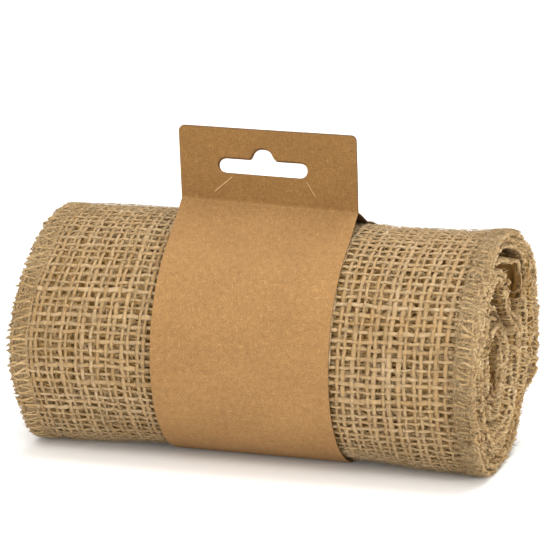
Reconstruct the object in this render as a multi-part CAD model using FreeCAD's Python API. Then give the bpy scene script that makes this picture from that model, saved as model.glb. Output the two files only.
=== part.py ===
import FreeCAD, Part
import math
import os

# Coreless roll of open-weave jute ribbon with overlocked edges, held by a kraft-card
# belly band whose two ends rise together as a hang tab with a euro slot.
# Millimetres. +X runs along the roll, -Y is the front of the roll, +Z is up.
# The origin is at the middle of the foot of the band, which the roll stands on.

# ---- driving dimensions -------------------------------------------------------
RIBBON_W = 152.4        # six inch ribbon, edge to edge over the stitching
CLOTH_T = 1.20          # thickness of the woven cloth
HEM_T = 1.80            # thickness over the overlock stitching
HEM_W = 6.0             # how far the stitching reaches in from the edge
HEM_OVER = 0.8          # thread lying outside the raw edge of the cloth
ROLL_R = 37.55          # centreline radius of the outermost turn
ROLL_FLAT = 35.98       # axis to the cloth centreline at the flattened foot
PITCH = 2.0             # radial spacing of the turns
TAIL_DEG = -33.0        # where the free tail end lies, at the lower back
SHELL_TURNS = 6         # round outer turns, the rest is the slack inner coil
COIL_FROM = 1

CARD_T = 0.45           # kraft card
BAND_W = 59.0           # width of the belly band and of the hang tab
BAND_X = 0.5            # the band sits this far off the middle of the roll
BAND_RI = 38.80         # inside radius of the band
BAND_FLAT = 37.23       # axis to the inside of the band's foot
FOOT_BLEND = 12.0       # radius between the band's foot and its round part
CREASE_Y = -5.7         # the crease of the hang tab, from the roll axis
CREASE_Z = 44.5
TAB_H = 25.0            # crease to the top of the tab
TAB_LEAN = 96.5         # heading of the tab from +Y, so it leans forward
TAB_GAP = 1.25          # card left free beside the crease, so the tab can fold
TAB_CORNER = 1.75
GLUE_T = 0.10
SLOT_L = 30.0           # euro slot
SLOT_H = 5.6
SLOT_BASE = 9.3         # crease to the lower side of the slot
SLOT_X = -1.75          # slot centre from the middle of the tab
BUMP_W = 8.0
BUMP_H = 3.8
BUMP_TOP = 2.3          # half width where the bump's round top starts

AXIS_Z = BAND_FLAT + CARD_T   # roll axis above the foot
OUT = "parts"


# ---- section of the wound cloth -------------------------------------------------
def smooth(t):
    t = min(1.0, max(0.0, t))
    return t * t * (3.0 - 2.0 * t)


def shell_point(phi):
    """Centreline of the round outer turns, phi in degrees counted inwards from the tail."""
    turn = int(math.floor((phi - TAIL_DEG) / 360.0 + 1e-9))
    th = phi - 360.0 * turn
    drop = turn + smooth((th - 268.0) / 54.0)      # each turn steps inwards under the one before
    r = ROLL_R - PITCH * drop
    c = math.cos(math.radians(th - 270.0))
    if c > 0.5:                                    # the foot is flattened by the roll's weight
        lim = (ROLL_FLAT - PITCH * drop) / c
        m = 0.45
        h = min(1.0, max(0.0, 0.5 + 0.5 * (lim - r) / m))
        r = lim * (1.0 - h) + r * h - m * h * (1.0 - h)
    if turn >= 3 and -40.0 < th < 122.0:           # slack turns sag away from the upper back
        sag = {3: 5.0, 4: 9.4}.get(turn, 10.6)
        r -= sag * math.sin(math.pi * (th + 40.0) / 162.0) ** 2
    a = math.radians(phi)
    return (r * math.cos(a), r * math.sin(a))


# slack inner coil about its own centre: radii at every 45 degrees, from its lower right to the core end
COIL_C = (2.0, -3.0)
COIL_R = [24.2, 20.7, 18.9, 14.9, 17.4, 20.9, 19.3, 18.4, 19.0,
          18.7, 16.3, 12.2, 14.0, 16.9, 14.8, 14.6, 15.8,
          15.6, 13.0, 9.5, 10.7, 12.6, 10.6, 10.9, 12.3,
          12.0, 9.6, 6.7, 7.3, 8.3, 6.6, 7.2, 8.6,
          8.2, 6.0, 3.6]


def coil_nodes():
    pts = []
    for i in range(0, len(COIL_R) - 1):
        r0, r1 = COIL_R[max(i - 1, 0)], COIL_R[i]
        r2, r3 = COIL_R[i + 1], COIL_R[min(i + 2, len(COIL_R) - 1)]
        for t in (0.0, 0.5):
            r = 0.5 * (2 * r1 + (r2 - r0) * t + (2 * r0 - 5 * r1 + 4 * r2 - r3) * t * t
                       + (3 * r1 - r0 - 3 * r2 + r3) * t * t * t)
            a = math.radians(-90.0 + 45.0 * (i + t))
            pts.append((COIL_C[0] + r * math.cos(a), COIL_C[1] + r * math.sin(a)))
    return pts[COIL_FROM:]


def section_nodes():
    steps = [0.0, 33.0, 63.0, 93.0, 123.0, 153.0, 183.0, 213.0, 243.0, 267.0,
             279.0, 287.0, 295.0, 303.0, 311.0, 319.0, 333.0, 347.0]
    nodes = []
    for turn in range(SHELL_TURNS):
        for s in steps:
            phi = TAIL_DEG + 360.0 * turn + s
            if turn == SHELL_TURNS - 1 and s > 304.0:
                break
            nodes.append(shell_point(phi))
    return nodes + coil_nodes()


def unit(v):
    n = math.hypot(v[0], v[1])
    return (v[0] / n, v[1] / n)


def circle_tangent(a, b, c, at):
    """Tangent, at point number at, of the circle through three points in order."""
    ax, ay, bx, by, cx, cy = a[0], a[1], b[0], b[1], c[0], c[1]
    d = 2.0 * (ax * (by - cy) + bx * (cy - ay) + cx * (ay - by))
    p = (a, b, c)[at]
    if abs(d) < 1e-6:
        return unit((cx - ax, cy - ay))
    ux = ((ax * ax + ay * ay) * (by - cy) + (bx * bx + by * by) * (cy - ay)
          + (cx * cx + cy * cy) * (ay - by)) / d
    uy = ((ax * ax + ay * ay) * (cx - bx) + (bx * bx + by * by) * (ax - cx)
          + (cx * cx + cy * cy) * (bx - ax)) / d
    t = unit((-(p[1] - uy), p[0] - ux))
    if t[0] * (cx - ax) + t[1] * (cy - ay) < 0:
        t = (-t[0], -t[1])
    return t


def biarcs(nodes):
    """Tangent arcs through the nodes: a list of (start, tangent, end)."""
    n = len(nodes)
    tans = []
    for i in range(n):
        j = min(max(i, 1), n - 2)
        tans.append(circle_tangent(nodes[j - 1], nodes[j], nodes[j + 1], i - j + 1))
    arcs = []
    for i in range(n - 1):
        p, q, s, t = nodes[i], nodes[i + 1], tans[i], tans[i + 1]
        v = (q[0] - p[0], q[1] - p[1])
        st = (s[0] + t[0], s[1] + t[1])
        vv = v[0] * v[0] + v[1] * v[1]
        vt = v[0] * st[0] + v[1] * st[1]
        k = 2.0 * (1.0 - (s[0] * t[0] + s[1] * t[1]))
        d = vv / (2.0 * vt) if k < 1e-9 else (-vt + math.sqrt(vt * vt + k * vv)) / k
        m = (0.5 * (p[0] + q[0] + d * (s[0] - t[0])), 0.5 * (p[1] + q[1] + d * (s[1] - t[1])))
        u = unit((m[0] - p[0] - d * s[0], m[1] - p[1] - d * s[1]))
        arcs.append((p, s, m))
        arcs.append((m, u, q))
    return arcs


def biarc_end(arc):
    """Direction and place of the end of an arc."""
    p, s, q = arc
    c = (q[0] - p[0], q[1] - p[1])
    n = (-s[1], s[0])
    turn = 2.0 * math.atan2(c[0] * n[0] + c[1] * n[1], c[0] * s[0] + c[1] * s[1])
    return (s[0] * math.cos(turn) - s[1] * math.sin(turn), s[0] * math.sin(turn) + s[1] * math.cos(turn)), q


def vec(x, p):
    return FreeCAD.Vector(x, p[0], p[1])


def arc_edge(x, arc, h):
    """Edge of one arc of the section, moved h to its left."""
    p, s, q = arc
    c = (q[0] - p[0], q[1] - p[1])
    n = (-s[1], s[0])
    cn = c[0] * n[0] + c[1] * n[1]
    turn = 2.0 * math.atan2(cn, c[0] * s[0] + c[1] * s[1])
    end_n = (n[0] * math.cos(turn) - n[1] * math.sin(turn), n[0] * math.sin(turn) + n[1] * math.cos(turn))
    a = (p[0] + h * n[0], p[1] + h * n[1])
    b = (q[0] + h * end_n[0], q[1] + h * end_n[1])
    if abs(turn) < 1e-4:
        return Part.LineSegment(vec(x, a), vec(x, b)).toShape(), a, b, 1e9
    r = (c[0] * c[0] + c[1] * c[1]) / (2.0 * cn)
    o = (p[0] + r * n[0], p[1] + r * n[1])
    half = 0.5 * turn
    hn = (n[0] * math.cos(half) - n[1] * math.sin(half), n[0] * math.sin(half) + n[1] * math.cos(half))
    m = (o[0] - (r - h) * hn[0], o[1] - (r - h) * hn[1])
    return Part.Arc(vec(x, a), vec(x, m), vec(x, b)).toShape(), a, b, abs(r)


def strip_face(x, arcs, half):
    """Face of a strip that follows the arcs, half a thickness to each side."""
    left = [arc_edge(x, a, half) for a in arcs]
    right = [arc_edge(x, a, -half) for a in arcs]
    edges = [e[0] for e in left]
    edges.append(Part.LineSegment(vec(x, left[-1][2]), vec(x, right[-1][2])).toShape())
    edges += [e[0] for e in reversed(right)]
    edges.append(Part.LineSegment(vec(x, right[0][1]), vec(x, left[0][1])).toShape())
    return Part.Face(Part.Wire(Part.__sortEdges__(edges)))


def strip(arcs, half, x0, x1):
    return strip_face(x0, arcs, half).extrude(FreeCAD.Vector(x1 - x0, 0, 0))


ARCS = biarcs(section_nodes())
radii = sorted(arc_edge(0.0, a, 0.0)[3] for a in ARCS)
length = sum(arc_edge(0.0, a, 0.0)[0].Length for a in ARCS)
print("cloth length %.1f mm, %d arcs, tightest radius %.2f mm" % (length, len(ARCS), radii[0]))

half_w = 0.5 * RIBBON_W
raw = half_w - HEM_OVER
cloth = strip(ARCS, 0.5 * CLOTH_T, -raw, raw)
thread_l = strip(ARCS, 0.5 * HEM_T, -half_w, -half_w + HEM_W)
thread_r = strip(ARCS, 0.5 * HEM_T, half_w - HEM_W, half_w)
# the stitching wraps the raw edge: two legs on the faces of the cloth and the loops outside it
p0, s0, _ = ARCS[0]
u1, p1 = biarc_end(ARCS[-1])
longer = [((p0[0] - s0[0], p0[1] - s0[1]), s0, p0)] + ARCS + [(p1, u1, (p1[0] + u1[0], p1[1] + u1[1]))]
left_edge = thread_l.cut(strip(longer, 0.5 * CLOTH_T, -raw, -half_w + HEM_W + 1.0))
right_edge = thread_r.cut(strip(longer, 0.5 * CLOTH_T, half_w - HEM_W - 1.0, raw))


# ---- belly band -------------------------------------------------------------------
def band_wire(r, flat, blend, apex):
    """Closed outline of the band: foot, two blends, round sides, two straight panels to the crease."""
    cy = math.sqrt((r - blend) ** 2 - (flat - blend) ** 2)
    cz = -(flat - blend)
    e = unit((cy, cz))
    lo_r = (r * e[0], r * e[1])                    # blend meets the round side, back
    d = math.hypot(apex[0], apex[1])
    mid = math.atan2(apex[1], apex[0])
    half = math.acos(r / d)
    back, front = mid - half, mid + half
    a0 = math.atan2(lo_r[1], lo_r[0])

    def on(a):
        return (r * math.cos(a), r * math.sin(a))

    def blend_mid(sign):
        a = 0.5 * (math.atan2(cz, cy) - 0.5 * math.pi)
        return (sign * (cy + blend * math.cos(a)), cz + blend * math.sin(a))

    pb, pf = on(back), on(front)
    pl = (-lo_r[0], lo_r[1])
    x = BAND_X - 0.5 * BAND_W
    edges = [
        Part.LineSegment(vec(x, (-cy, -flat)), vec(x, (cy, -flat))).toShape(),
        Part.Arc(vec(x, (cy, -flat)), vec(x, blend_mid(1)), vec(x, lo_r)).toShape(),
        Part.Arc(vec(x, lo_r), vec(x, on(0.5 * (a0 + back))), vec(x, pb)).toShape(),
        Part.LineSegment(vec(x, pb), vec(x, apex)).toShape(),
        Part.LineSegment(vec(x, apex), vec(x, pf)).toShape(),
        Part.Arc(vec(x, pf), vec(x, on(0.5 * (front + math.pi - a0))), vec(x, pl)).toShape(),
        Part.Arc(vec(x, pl), vec(x, blend_mid(-1)), vec(x, (-cy, -flat))).toShape(),
    ]
    return Part.Wire(Part.__sortEdges__(edges)), (pf, pb)


def inner_apex(r_out, apex, t):
    """Where the inner faces of the two panels meet, one card thickness inside the outer ones."""
    d = math.hypot(apex[0], apex[1])
    k = (r_out - t) / r_out
    # lines parallel to both tangents of the outer circle are the tangents of the inner circle from this point
    return (apex[0] * k, apex[1] * k) if d else apex


apex_out = (CREASE_Y, CREASE_Z)
apex_in = inner_apex(BAND_RI + CARD_T, apex_out, CARD_T)
outer, feet = band_wire(BAND_RI + CARD_T, BAND_FLAT + CARD_T, FOOT_BLEND + CARD_T, apex_out)
inner, _ = band_wire(BAND_RI, BAND_FLAT, FOOT_BLEND, apex_in)
wide = FreeCAD.Vector(BAND_W, 0, 0)
hollow = Part.Face(inner)
hollow.translate(FreeCAD.Vector(-1, 0, 0))
band = Part.Face(outer).extrude(wide).cut(hollow.extrude(wide + FreeCAD.Vector(2, 0, 0)))


# ---- hang tab ---------------------------------------------------------------------
lean = math.radians(TAB_LEAN)
up = FreeCAD.Vector(0, math.cos(lean), math.sin(lean))          # up the tab
fore = FreeCAD.Vector(0, -math.sin(lean), math.cos(lean))       # out of its front face
crease = FreeCAD.Vector(0, CREASE_Y, CREASE_Z)


def on_tab(x, v, w):
    return crease + FreeCAD.Vector(BAND_X + x, 0, 0) + up * v + fore * w


def line(a, b):
    return Part.LineSegment(a, b).toShape()


def arc(a, m, b):
    return Part.Arc(a, m, b).toShape()


def tab_outline(w):
    h, c, s = 0.5 * BAND_W, TAB_CORNER, TAB_CORNER * (1.0 - math.sqrt(0.5))
    return Part.Wire([
        line(on_tab(-h, TAB_GAP, w), on_tab(h, TAB_GAP, w)),
        line(on_tab(h, TAB_GAP, w), on_tab(h, TAB_H - c, w)),
        arc(on_tab(h, TAB_H - c, w), on_tab(h - s, TAB_H - s, w), on_tab(h - c, TAB_H, w)),
        line(on_tab(h - c, TAB_H, w), on_tab(-h + c, TAB_H, w)),
        arc(on_tab(-h + c, TAB_H, w), on_tab(-h + s, TAB_H - s, w), on_tab(-h, TAB_H - c, w)),
        line(on_tab(-h, TAB_H - c, w), on_tab(-h, TAB_GAP, w)),
    ])


def slot_outline(w, grow=0.0):
    r = 0.5 * SLOT_H + grow
    zc = SLOT_BASE + 0.5 * SLOT_H
    e = 0.5 * SLOT_L - 0.5 * SLOT_H
    top = zc + r
    b, k = 0.5 * BUMP_W + grow, BUMP_TOP + grow
    z1, z2 = top + 0.58 * BUMP_H, top + BUMP_H

    def q(x, v):
        return on_tab(SLOT_X + x, v, w)

    return Part.Wire([
        line(q(-e, zc - r), q(e, zc - r)),
        arc(q(e, zc - r), q(e + r, zc), q(e, top)),
        line(q(e, top), q(b, top)),
        line(q(b, top), q(k, z1)),
        arc(q(k, z1), q(0, z2), q(-k, z1)),
        line(q(-k, z1), q(-b, top)),
        line(q(-b, top), q(-e, top)),
        arc(q(-e, top), q(-e - r, zc), q(-e, zc - r)),
    ])


def plate(w0, w1, outline, hole):
    punch = Part.Face(hole)
    punch.translate(fore * -1.0)
    return Part.Face(outline).extrude(fore * (w1 - w0)).cut(punch.extrude(fore * (w1 - w0 + 2.0)))


g, t = 0.5 * GLUE_T, CARD_T
front_ply = plate(g, g + t, tab_outline(g), slot_outline(g))
back_ply = plate(-g - t, -g, tab_outline(-g - t), slot_outline(-g - t))


def glue_outline(w):
    h, lo, hi = 0.5 * BAND_W - 2.5, TAB_GAP + 2.0, TAB_H - 2.5
    return Part.Wire([
        line(on_tab(-h, lo, w), on_tab(h, lo, w)),
        line(on_tab(h, lo, w), on_tab(h, hi, w)),
        line(on_tab(h, hi, w), on_tab(-h, hi, w)),
        line(on_tab(-h, hi, w), on_tab(-h, lo, w)),
    ])


glue = plate(-g, g, glue_outline(-g), slot_outline(-g, 1.2))

# ---- write --------------------------------------------------------------------------
os.makedirs(OUT, exist_ok=True)
nodes = {
    "burlap_ribbon": cloth,
    "left_edge_overlock": left_edge,
    "right_edge_overlock": right_edge,
    "card_band": band,
    "tab_front_ply": front_ply,
    "tab_back_ply": back_ply,
    "tab_adhesive": glue,
}
for name, shape in nodes.items():
    shape.translate(FreeCAD.Vector(0, 0, AXIS_Z))
    solids = shape.Solids
    bb = shape.BoundBox
    print("%-20s solids %d valid %s volume %.1f  x %.2f..%.2f y %.2f..%.2f z %.2f..%.2f" % (
        name, len(solids), shape.isValid(), shape.Volume,
        bb.XMin, bb.XMax, bb.YMin, bb.YMax, bb.ZMin, bb.ZMax))
    one = solids[0] if len(solids) == 1 else shape
    one.exportStep("%s/%s.step" % (OUT, name))
sc = on_tab(SLOT_X, SLOT_BASE + 0.5 * SLOT_H, 0)
print("crease", CREASE_Y, CREASE_Z + AXIS_Z, "slot centre", sc.x, sc.y, sc.z + AXIS_Z,
      "tab normal", fore.y, fore.z, "tab up", up.y, up.z, "axis", AXIS_Z)
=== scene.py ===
import math

import bpy
import numpy as np
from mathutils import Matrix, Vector, geometry


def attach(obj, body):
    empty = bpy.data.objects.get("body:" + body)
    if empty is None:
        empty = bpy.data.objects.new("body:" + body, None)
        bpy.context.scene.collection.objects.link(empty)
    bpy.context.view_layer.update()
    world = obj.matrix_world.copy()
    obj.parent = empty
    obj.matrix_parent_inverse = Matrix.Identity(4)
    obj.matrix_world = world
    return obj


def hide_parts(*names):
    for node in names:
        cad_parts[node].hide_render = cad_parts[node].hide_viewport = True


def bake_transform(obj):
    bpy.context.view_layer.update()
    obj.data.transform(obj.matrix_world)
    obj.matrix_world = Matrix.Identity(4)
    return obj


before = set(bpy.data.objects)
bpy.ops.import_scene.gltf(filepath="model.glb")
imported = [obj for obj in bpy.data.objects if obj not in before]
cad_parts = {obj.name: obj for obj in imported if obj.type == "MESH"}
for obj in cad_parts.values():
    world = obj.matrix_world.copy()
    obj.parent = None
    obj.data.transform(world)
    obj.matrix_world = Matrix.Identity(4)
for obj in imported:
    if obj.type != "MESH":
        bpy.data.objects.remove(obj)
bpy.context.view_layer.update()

# Everything below is worked out in millimetres about the roll's axis and written in metres in the row frame.
MM = 0.001
AXIS_Z = 37.68

# ------------------------------------------------------------------ section of the wound cloth, as in the CAD model
ROLL_R, ROLL_FLAT, PITCH, TAIL_DEG, SHELL_TURNS = 37.55, 35.98, 2.0, -33.0, 6
COIL_C = (2.0, -3.0)
COIL_FROM = 1
COIL_R = [24.2, 20.7, 18.9, 14.9, 17.4, 20.9, 19.3, 18.4, 19.0,
          18.7, 16.3, 12.2, 14.0, 16.9, 14.8, 14.6, 15.8,
          15.6, 13.0, 9.5, 10.7, 12.6, 10.6, 10.9, 12.3,
          12.0, 9.6, 6.7, 7.3, 8.3, 6.6, 7.2, 8.6,
          8.2, 6.0, 3.6]


def smooth(t):
    t = min(1.0, max(0.0, t))
    return t * t * (3.0 - 2.0 * t)


def shell_point(phi):
    turn = int(math.floor((phi - TAIL_DEG) / 360.0 + 1e-9))
    th = phi - 360.0 * turn
    drop = turn + smooth((th - 268.0) / 54.0)
    r = ROLL_R - PITCH * drop
    c = math.cos(math.radians(th - 270.0))
    if c > 0.5:
        lim = (ROLL_FLAT - PITCH * drop) / c
        m = 0.45
        h = min(1.0, max(0.0, 0.5 + 0.5 * (lim - r) / m))
        r = lim * (1.0 - h) + r * h - m * h * (1.0 - h)
    if turn >= 3 and -40.0 < th < 122.0:
        sag = {3: 5.0, 4: 9.4}.get(turn, 10.6)
        r -= sag * math.sin(math.pi * (th + 40.0) / 162.0) ** 2
    a = math.radians(phi)
    return (r * math.cos(a), r * math.sin(a))


def coil_nodes():
    pts = []
    for i in range(0, len(COIL_R) - 1):
        r0, r1 = COIL_R[max(i - 1, 0)], COIL_R[i]
        r2, r3 = COIL_R[i + 1], COIL_R[min(i + 2, len(COIL_R) - 1)]
        for t in (0.0, 0.5):
            r = 0.5 * (2 * r1 + (r2 - r0) * t + (2 * r0 - 5 * r1 + 4 * r2 - r3) * t * t
                       + (3 * r1 - r0 - 3 * r2 + r3) * t * t * t)
            a = math.radians(-90.0 + 45.0 * (i + t))
            pts.append((COIL_C[0] + r * math.cos(a), COIL_C[1] + r * math.sin(a)))
    return pts[COIL_FROM:]


def section_nodes():
    steps = [0.0, 33.0, 63.0, 93.0, 123.0, 153.0, 183.0, 213.0, 243.0, 267.0,
             279.0, 287.0, 295.0, 303.0, 311.0, 319.0, 333.0, 347.0]
    nodes = []
    for turn in range(SHELL_TURNS):
        for s in steps:
            phi = TAIL_DEG + 360.0 * turn + s
            if turn == SHELL_TURNS - 1 and s > 304.0:
                break
            nodes.append(shell_point(phi))
    return nodes + coil_nodes()


def unit2(v):
    n = math.hypot(v[0], v[1])
    return (v[0] / n, v[1] / n)


def circle_tangent(a, b, c, at):
    ax, ay, bx, by, cx, cy = a[0], a[1], b[0], b[1], c[0], c[1]
    d = 2.0 * (ax * (by - cy) + bx * (cy - ay) + cx * (ay - by))
    p = (a, b, c)[at]
    if abs(d) < 1e-6:
        return unit2((cx - ax, cy - ay))
    ux = ((ax * ax + ay * ay) * (by - cy) + (bx * bx + by * by) * (cy - ay)
          + (cx * cx + cy * cy) * (ay - by)) / d
    uy = ((ax * ax + ay * ay) * (cx - bx) + (bx * bx + by * by) * (ax - cx)
          + (cx * cx + cy * cy) * (bx - ax)) / d
    t = unit2((-(p[1] - uy), p[0] - ux))
    if t[0] * (cx - ax) + t[1] * (cy - ay) < 0:
        t = (-t[0], -t[1])
    return t


def biarcs(nodes):
    n = len(nodes)
    tans = []
    for i in range(n):
        j = min(max(i, 1), n - 2)
        tans.append(circle_tangent(nodes[j - 1], nodes[j], nodes[j + 1], i - j + 1))
    arcs = []
    for i in range(n - 1):
        p, q, s, t = nodes[i], nodes[i + 1], tans[i], tans[i + 1]
        v = (q[0] - p[0], q[1] - p[1])
        st = (s[0] + t[0], s[1] + t[1])
        vv = v[0] * v[0] + v[1] * v[1]
        vt = v[0] * st[0] + v[1] * st[1]
        k = 2.0 * (1.0 - (s[0] * t[0] + s[1] * t[1]))
        d = vv / (2.0 * vt) if k < 1e-9 else (-vt + math.sqrt(vt * vt + k * vv)) / k
        m = (0.5 * (p[0] + q[0] + d * (s[0] - t[0])), 0.5 * (p[1] + q[1] + d * (s[1] - t[1])))
        u = unit2((m[0] - p[0] - d * s[0], m[1] - p[1] - d * s[1]))
        arcs.append((p, s, m))
        arcs.append((m, u, q))
    return arcs


def centreline(step=0.25):
    """Arc length, place and direction along the wound cloth."""
    ss, yy, zz, ty, tz, s0 = [], [], [], [], [], 0.0
    for p, s, q in biarcs(section_nodes()):
        c = (q[0] - p[0], q[1] - p[1])
        n = (-s[1], s[0])
        cn = c[0] * n[0] + c[1] * n[1]
        turn = 2.0 * math.atan2(cn, c[0] * s[0] + c[1] * s[1])
        straight = abs(turn) < 1e-4
        r = 1e9 if straight else (c[0] * c[0] + c[1] * c[1]) / (2.0 * cn)
        long = math.hypot(*c) if straight else abs(r * turn)
        k = max(2, int(round(long / step)))
        for i in range(k):
            f = i / k
            a = turn * f
            if straight:
                yy.append(p[0] + c[0] * f)
                zz.append(p[1] + c[1] * f)
            else:
                m = (n[0] * math.cos(a) - n[1] * math.sin(a), n[0] * math.sin(a) + n[1] * math.cos(a))
                yy.append(p[0] + r * (n[0] - m[0]))
                zz.append(p[1] + r * (n[1] - m[1]))
            ty.append(s[0] * math.cos(a) - s[1] * math.sin(a))
            tz.append(s[0] * math.sin(a) + s[1] * math.cos(a))
            ss.append(s0 + long * f)
        s0 += long
    return tuple(np.array(v) for v in (ss, yy, zz, ty, tz))


CS, CY, CZ, CTY, CTZ = centreline()
LENGTH = float(CS[-1])          # cut length of the ribbon
TURN1 = 2 * math.pi * ROLL_R    # about where the second turn begins


def waves(seed, t, spans, sizes):
    """Smooth noise: a few sine waves with seeded phases."""
    rng = np.random.RandomState(seed)
    out = np.zeros(np.shape(t))
    for span, size in zip(spans, sizes):
        out = out + size * np.sin(2 * np.pi * (np.asarray(t) / (span * (0.85 + 0.3 * rng.rand())) + rng.rand()))
    return out


def rows_of_waves(rng, rows, t, spans, sizes):
    """The same for many rows at once, each with its own phases: (rows, len(t))."""
    out = np.zeros((rows, len(t)))
    for span, size in zip(spans, sizes):
        f = 1.0 / (span * (0.8 + 0.4 * rng.rand(rows, 1)))
        out += size * np.sin(2 * np.pi * (t[None, :] * f + rng.rand(rows, 1)))
    return out


def step01(t):
    t = np.clip(t, 0, 1)
    return t * t * (3 - 2 * t)


CTH = np.degrees(np.unwrap(np.arctan2(CZ, CY)))      # angle about the roll's axis, from the tail at -33 degrees
CTH = CTH - CTH[0] + TAIL_DEG


def between(th, a, b, c, d):
    """Rises from a to b, stays at one, falls from c to d."""
    return step01((th - a) / (b - a)) * (1 - step01((th - c) / (d - c)))


def telescope(s):
    """How far each part of the winding has crept along the roll."""
    s = np.asarray(s, float)
    out = 3.0 * (1 - step01((s - 6.0) / 112.0))
    out = out + 0.7 * step01((s - 170) / 60) * (1 - step01((s - 260) / 90))
    out = out + waves(11, s, (97.0, 171.0, 61.0), (0.30, 0.40, 0.25)) * step01((s - 240) / 120)
    out = out - 1.3 * between(s, 500, 620, 760, 900) - 3.2 * step01((s - 1090) / 190)
    return out


def edge_shift(s, x):
    """The edges aren't parallel: the cloth is pulled in here and there."""
    s, x = np.asarray(s, float), np.asarray(x, float)
    phi = np.interp(np.clip(s, 0, LENGTH), CS, CTH)
    th = np.mod(phi + 33.0, 360.0) - 33.0
    w = np.exp(-((phi + 33.0) / 1500.0) ** 2)
    left = w * (3.0 * between(th, 44, 92, 124, 168) - 0.9 * between(th, 164, 178, 190, 214))
    left = left + waves(12, s, (47.0, 83.0), (0.35, 0.35)) * step01((s - 236) / 60)
    right = waves(13, s, (39.0, 71.0, 128.0), (0.30, 0.35, 0.45)) * (0.35 + 0.65 * step01((s - 200) / 80))
    right = right - 4.0 * (1 - step01((s + 5.0) / 12.0))
    return left * step01((-x - 18) / 50.0) + right * step01((x - 18) / 50.0)


TOP_X = np.array([-80, -75, -62, -48, -36, -31, 31, 36, 42, 53, 67, 74, 80], float)
TOP_H = np.array([-0.9, -0.6, 0.3, 0.55, 0.45, 0.0, 0.0, -0.55, -0.5, -0.25, 0.45, 1.0, 1.1])


def flare(s, x):
    """Past the band the roll is slack: it spreads on its foot and its ends open a little."""
    s, x = np.asarray(s, float), np.asarray(x, float)
    phi = np.interp(np.clip(s, 0, LENGTH), CS, CTH)
    th = np.mod(phi + 33.0, 360.0) - 33.0
    turns = (phi - TAIL_DEG) / 360.0
    w = np.clip(1 - 0.17 * turns, 0, 1) ** 1.5
    low = 2.0 * between(th, 204, 238, 258, 286) * step01((np.abs(x) - 33.5) / 30.0)
    top = np.interp(x, TOP_X, TOP_H) * between(th, 40, 68, 112, 142)
    return (low + top) * w


def field_s(s, x):
    return (0.55 * np.sin(x / 31.0 + s / 57.0 + 0.4) + 0.42 * np.sin(x / 17.0 - s / 83.0 + 1.9)
            + 0.34 * np.sin(x / 9.5 + s / 23.0 + 3.1) + 0.9 * np.sin(x / 64.0 + s / 140.0 + 2.2))


def field_x(s, x):
    return (0.42 * np.sin(s / 19.0 + x / 41.0 + 1.1) + 0.30 * np.sin(s / 11.0 - x / 27.0 + 2.7)
            + 0.36 * np.sin(s / 37.0 + x / 71.0 + 0.2))


def field_h(s, x):
    """The loose cloth stands a little away from the turn beneath, mostly near its edges. Inwards only."""
    e = step01((np.abs(x) - 34.0) / 40.0)
    w = 0.5 + 0.5 * np.sin(s / 21.0 + x / 60.0 + 0.7) * np.sin(s / 47.0 + 2.0)
    return -0.45 * e * w


S_OUT = 246.0                    # the outer turn, which is seen whole
S_TWO = 455.0                    # and the turn under it, seen through its holes
FLOOR_Z = -37.28                 # no yarn's middle goes lower than this


# places at the right end where the winding stands open: centre and half widths in the section, how far it opens
VOIDS = ((18.0, 17.5, 8.4, 6.0, 1.05), (4.5, -6.0, 2.8, 7.5, 0.65))
# painted shade: patches at the right end, centre and half widths in the section, where the cloth's colour is darkened
PAINTED_SHADE_ZONES = ((18.0, 17.5, 12.5, 9.5), (4.5, -6.0, 3.8, 9.5), (-18.0, -4.5, 6.2, 17.0), (16.0, 8.0, 2.6, 4.0))


def open_up(x, y, z):
    w = step01((x - 58.0) / 15.0)
    for cy, cz, ry, rz, k in VOIDS:
        q = np.hypot((y - cy) / ry, (z - cz) / rz) + 1e-4
        f = 1 + w * k * np.exp(-(q / 1.55) ** 2) / q
        y, z = cy + (y - cy) * f, cz + (z - cz) * f
    return y, z


def painted_shade_at(x, y, z):
    """How deep in one of the openings a place is, 0 to 1, only at the right end: how much painted shade darkens the
    cloth's colour there.
    """
    out = np.zeros(np.shape(y))
    for cy, cz, ry, rz in PAINTED_SHADE_ZONES:
        q = np.hypot((y - cy) / ry, (z - cz) / rz)
        out = np.maximum(out, 1 - step01((q - 1.05) / 0.75))
    return out * step01((x - 40.0) / 20.0) * (1 - 0.65 * step01((x - 73.8) / 1.6))


def place(s, x, h):
    """Point of the cloth: s along it, x across it, h outwards from its middle."""
    s, x, h = np.broadcast_arrays(np.asarray(s, float), np.asarray(x, float), np.asarray(h, float))
    # the end of the ribbon isn't cut quite square
    s = s - 3.4 * step01((x - 10.0) / 60.0) * (1 - step01(s / 34.0))
    sc = np.clip(s, 0.0, LENGTH)
    ty, tz = np.interp(sc, CS, CTY), np.interp(sc, CS, CTZ)
    n = np.hypot(ty, tz)
    ty, tz = ty / n, tz / n
    # the second turn presses up against the outer one, except at the thick edges
    press = 0.45 * between(s, S_OUT - 4.0, S_OUT + 14.0, S_TWO - 16.0, S_TWO - 2.0) * (1 - step01((np.abs(x) - 63.0) / 6.0))
    h = h + flare(s, x) + press
    y = np.interp(sc, CS, CY) + (s - sc) * ty + h * tz
    z = np.interp(sc, CS, CZ) + (s - sc) * tz - h * ty
    y, z = open_up(x, y, z)
    under = z < FLOOR_Z
    z = np.where(under, FLOOR_Z + 0.05 * (z - FLOOR_Z), z)
    return np.stack([x + telescope(sc) + edge_shift(s, x), y, z], -1)


def along(s):
    s = np.clip(np.asarray(s, float), 0, LENGTH)
    ty, tz = np.interp(s, CS, CTY), np.interp(s, CS, CTZ)
    n = np.hypot(ty, tz)
    return np.stack([np.zeros_like(ty), ty / n, tz / n], -1)


# ------------------------------------------------------------------ mesh helpers
def to_row(p):
    p = np.array(p, float)
    p[..., 2] += AXIS_Z
    return p * MM


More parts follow.
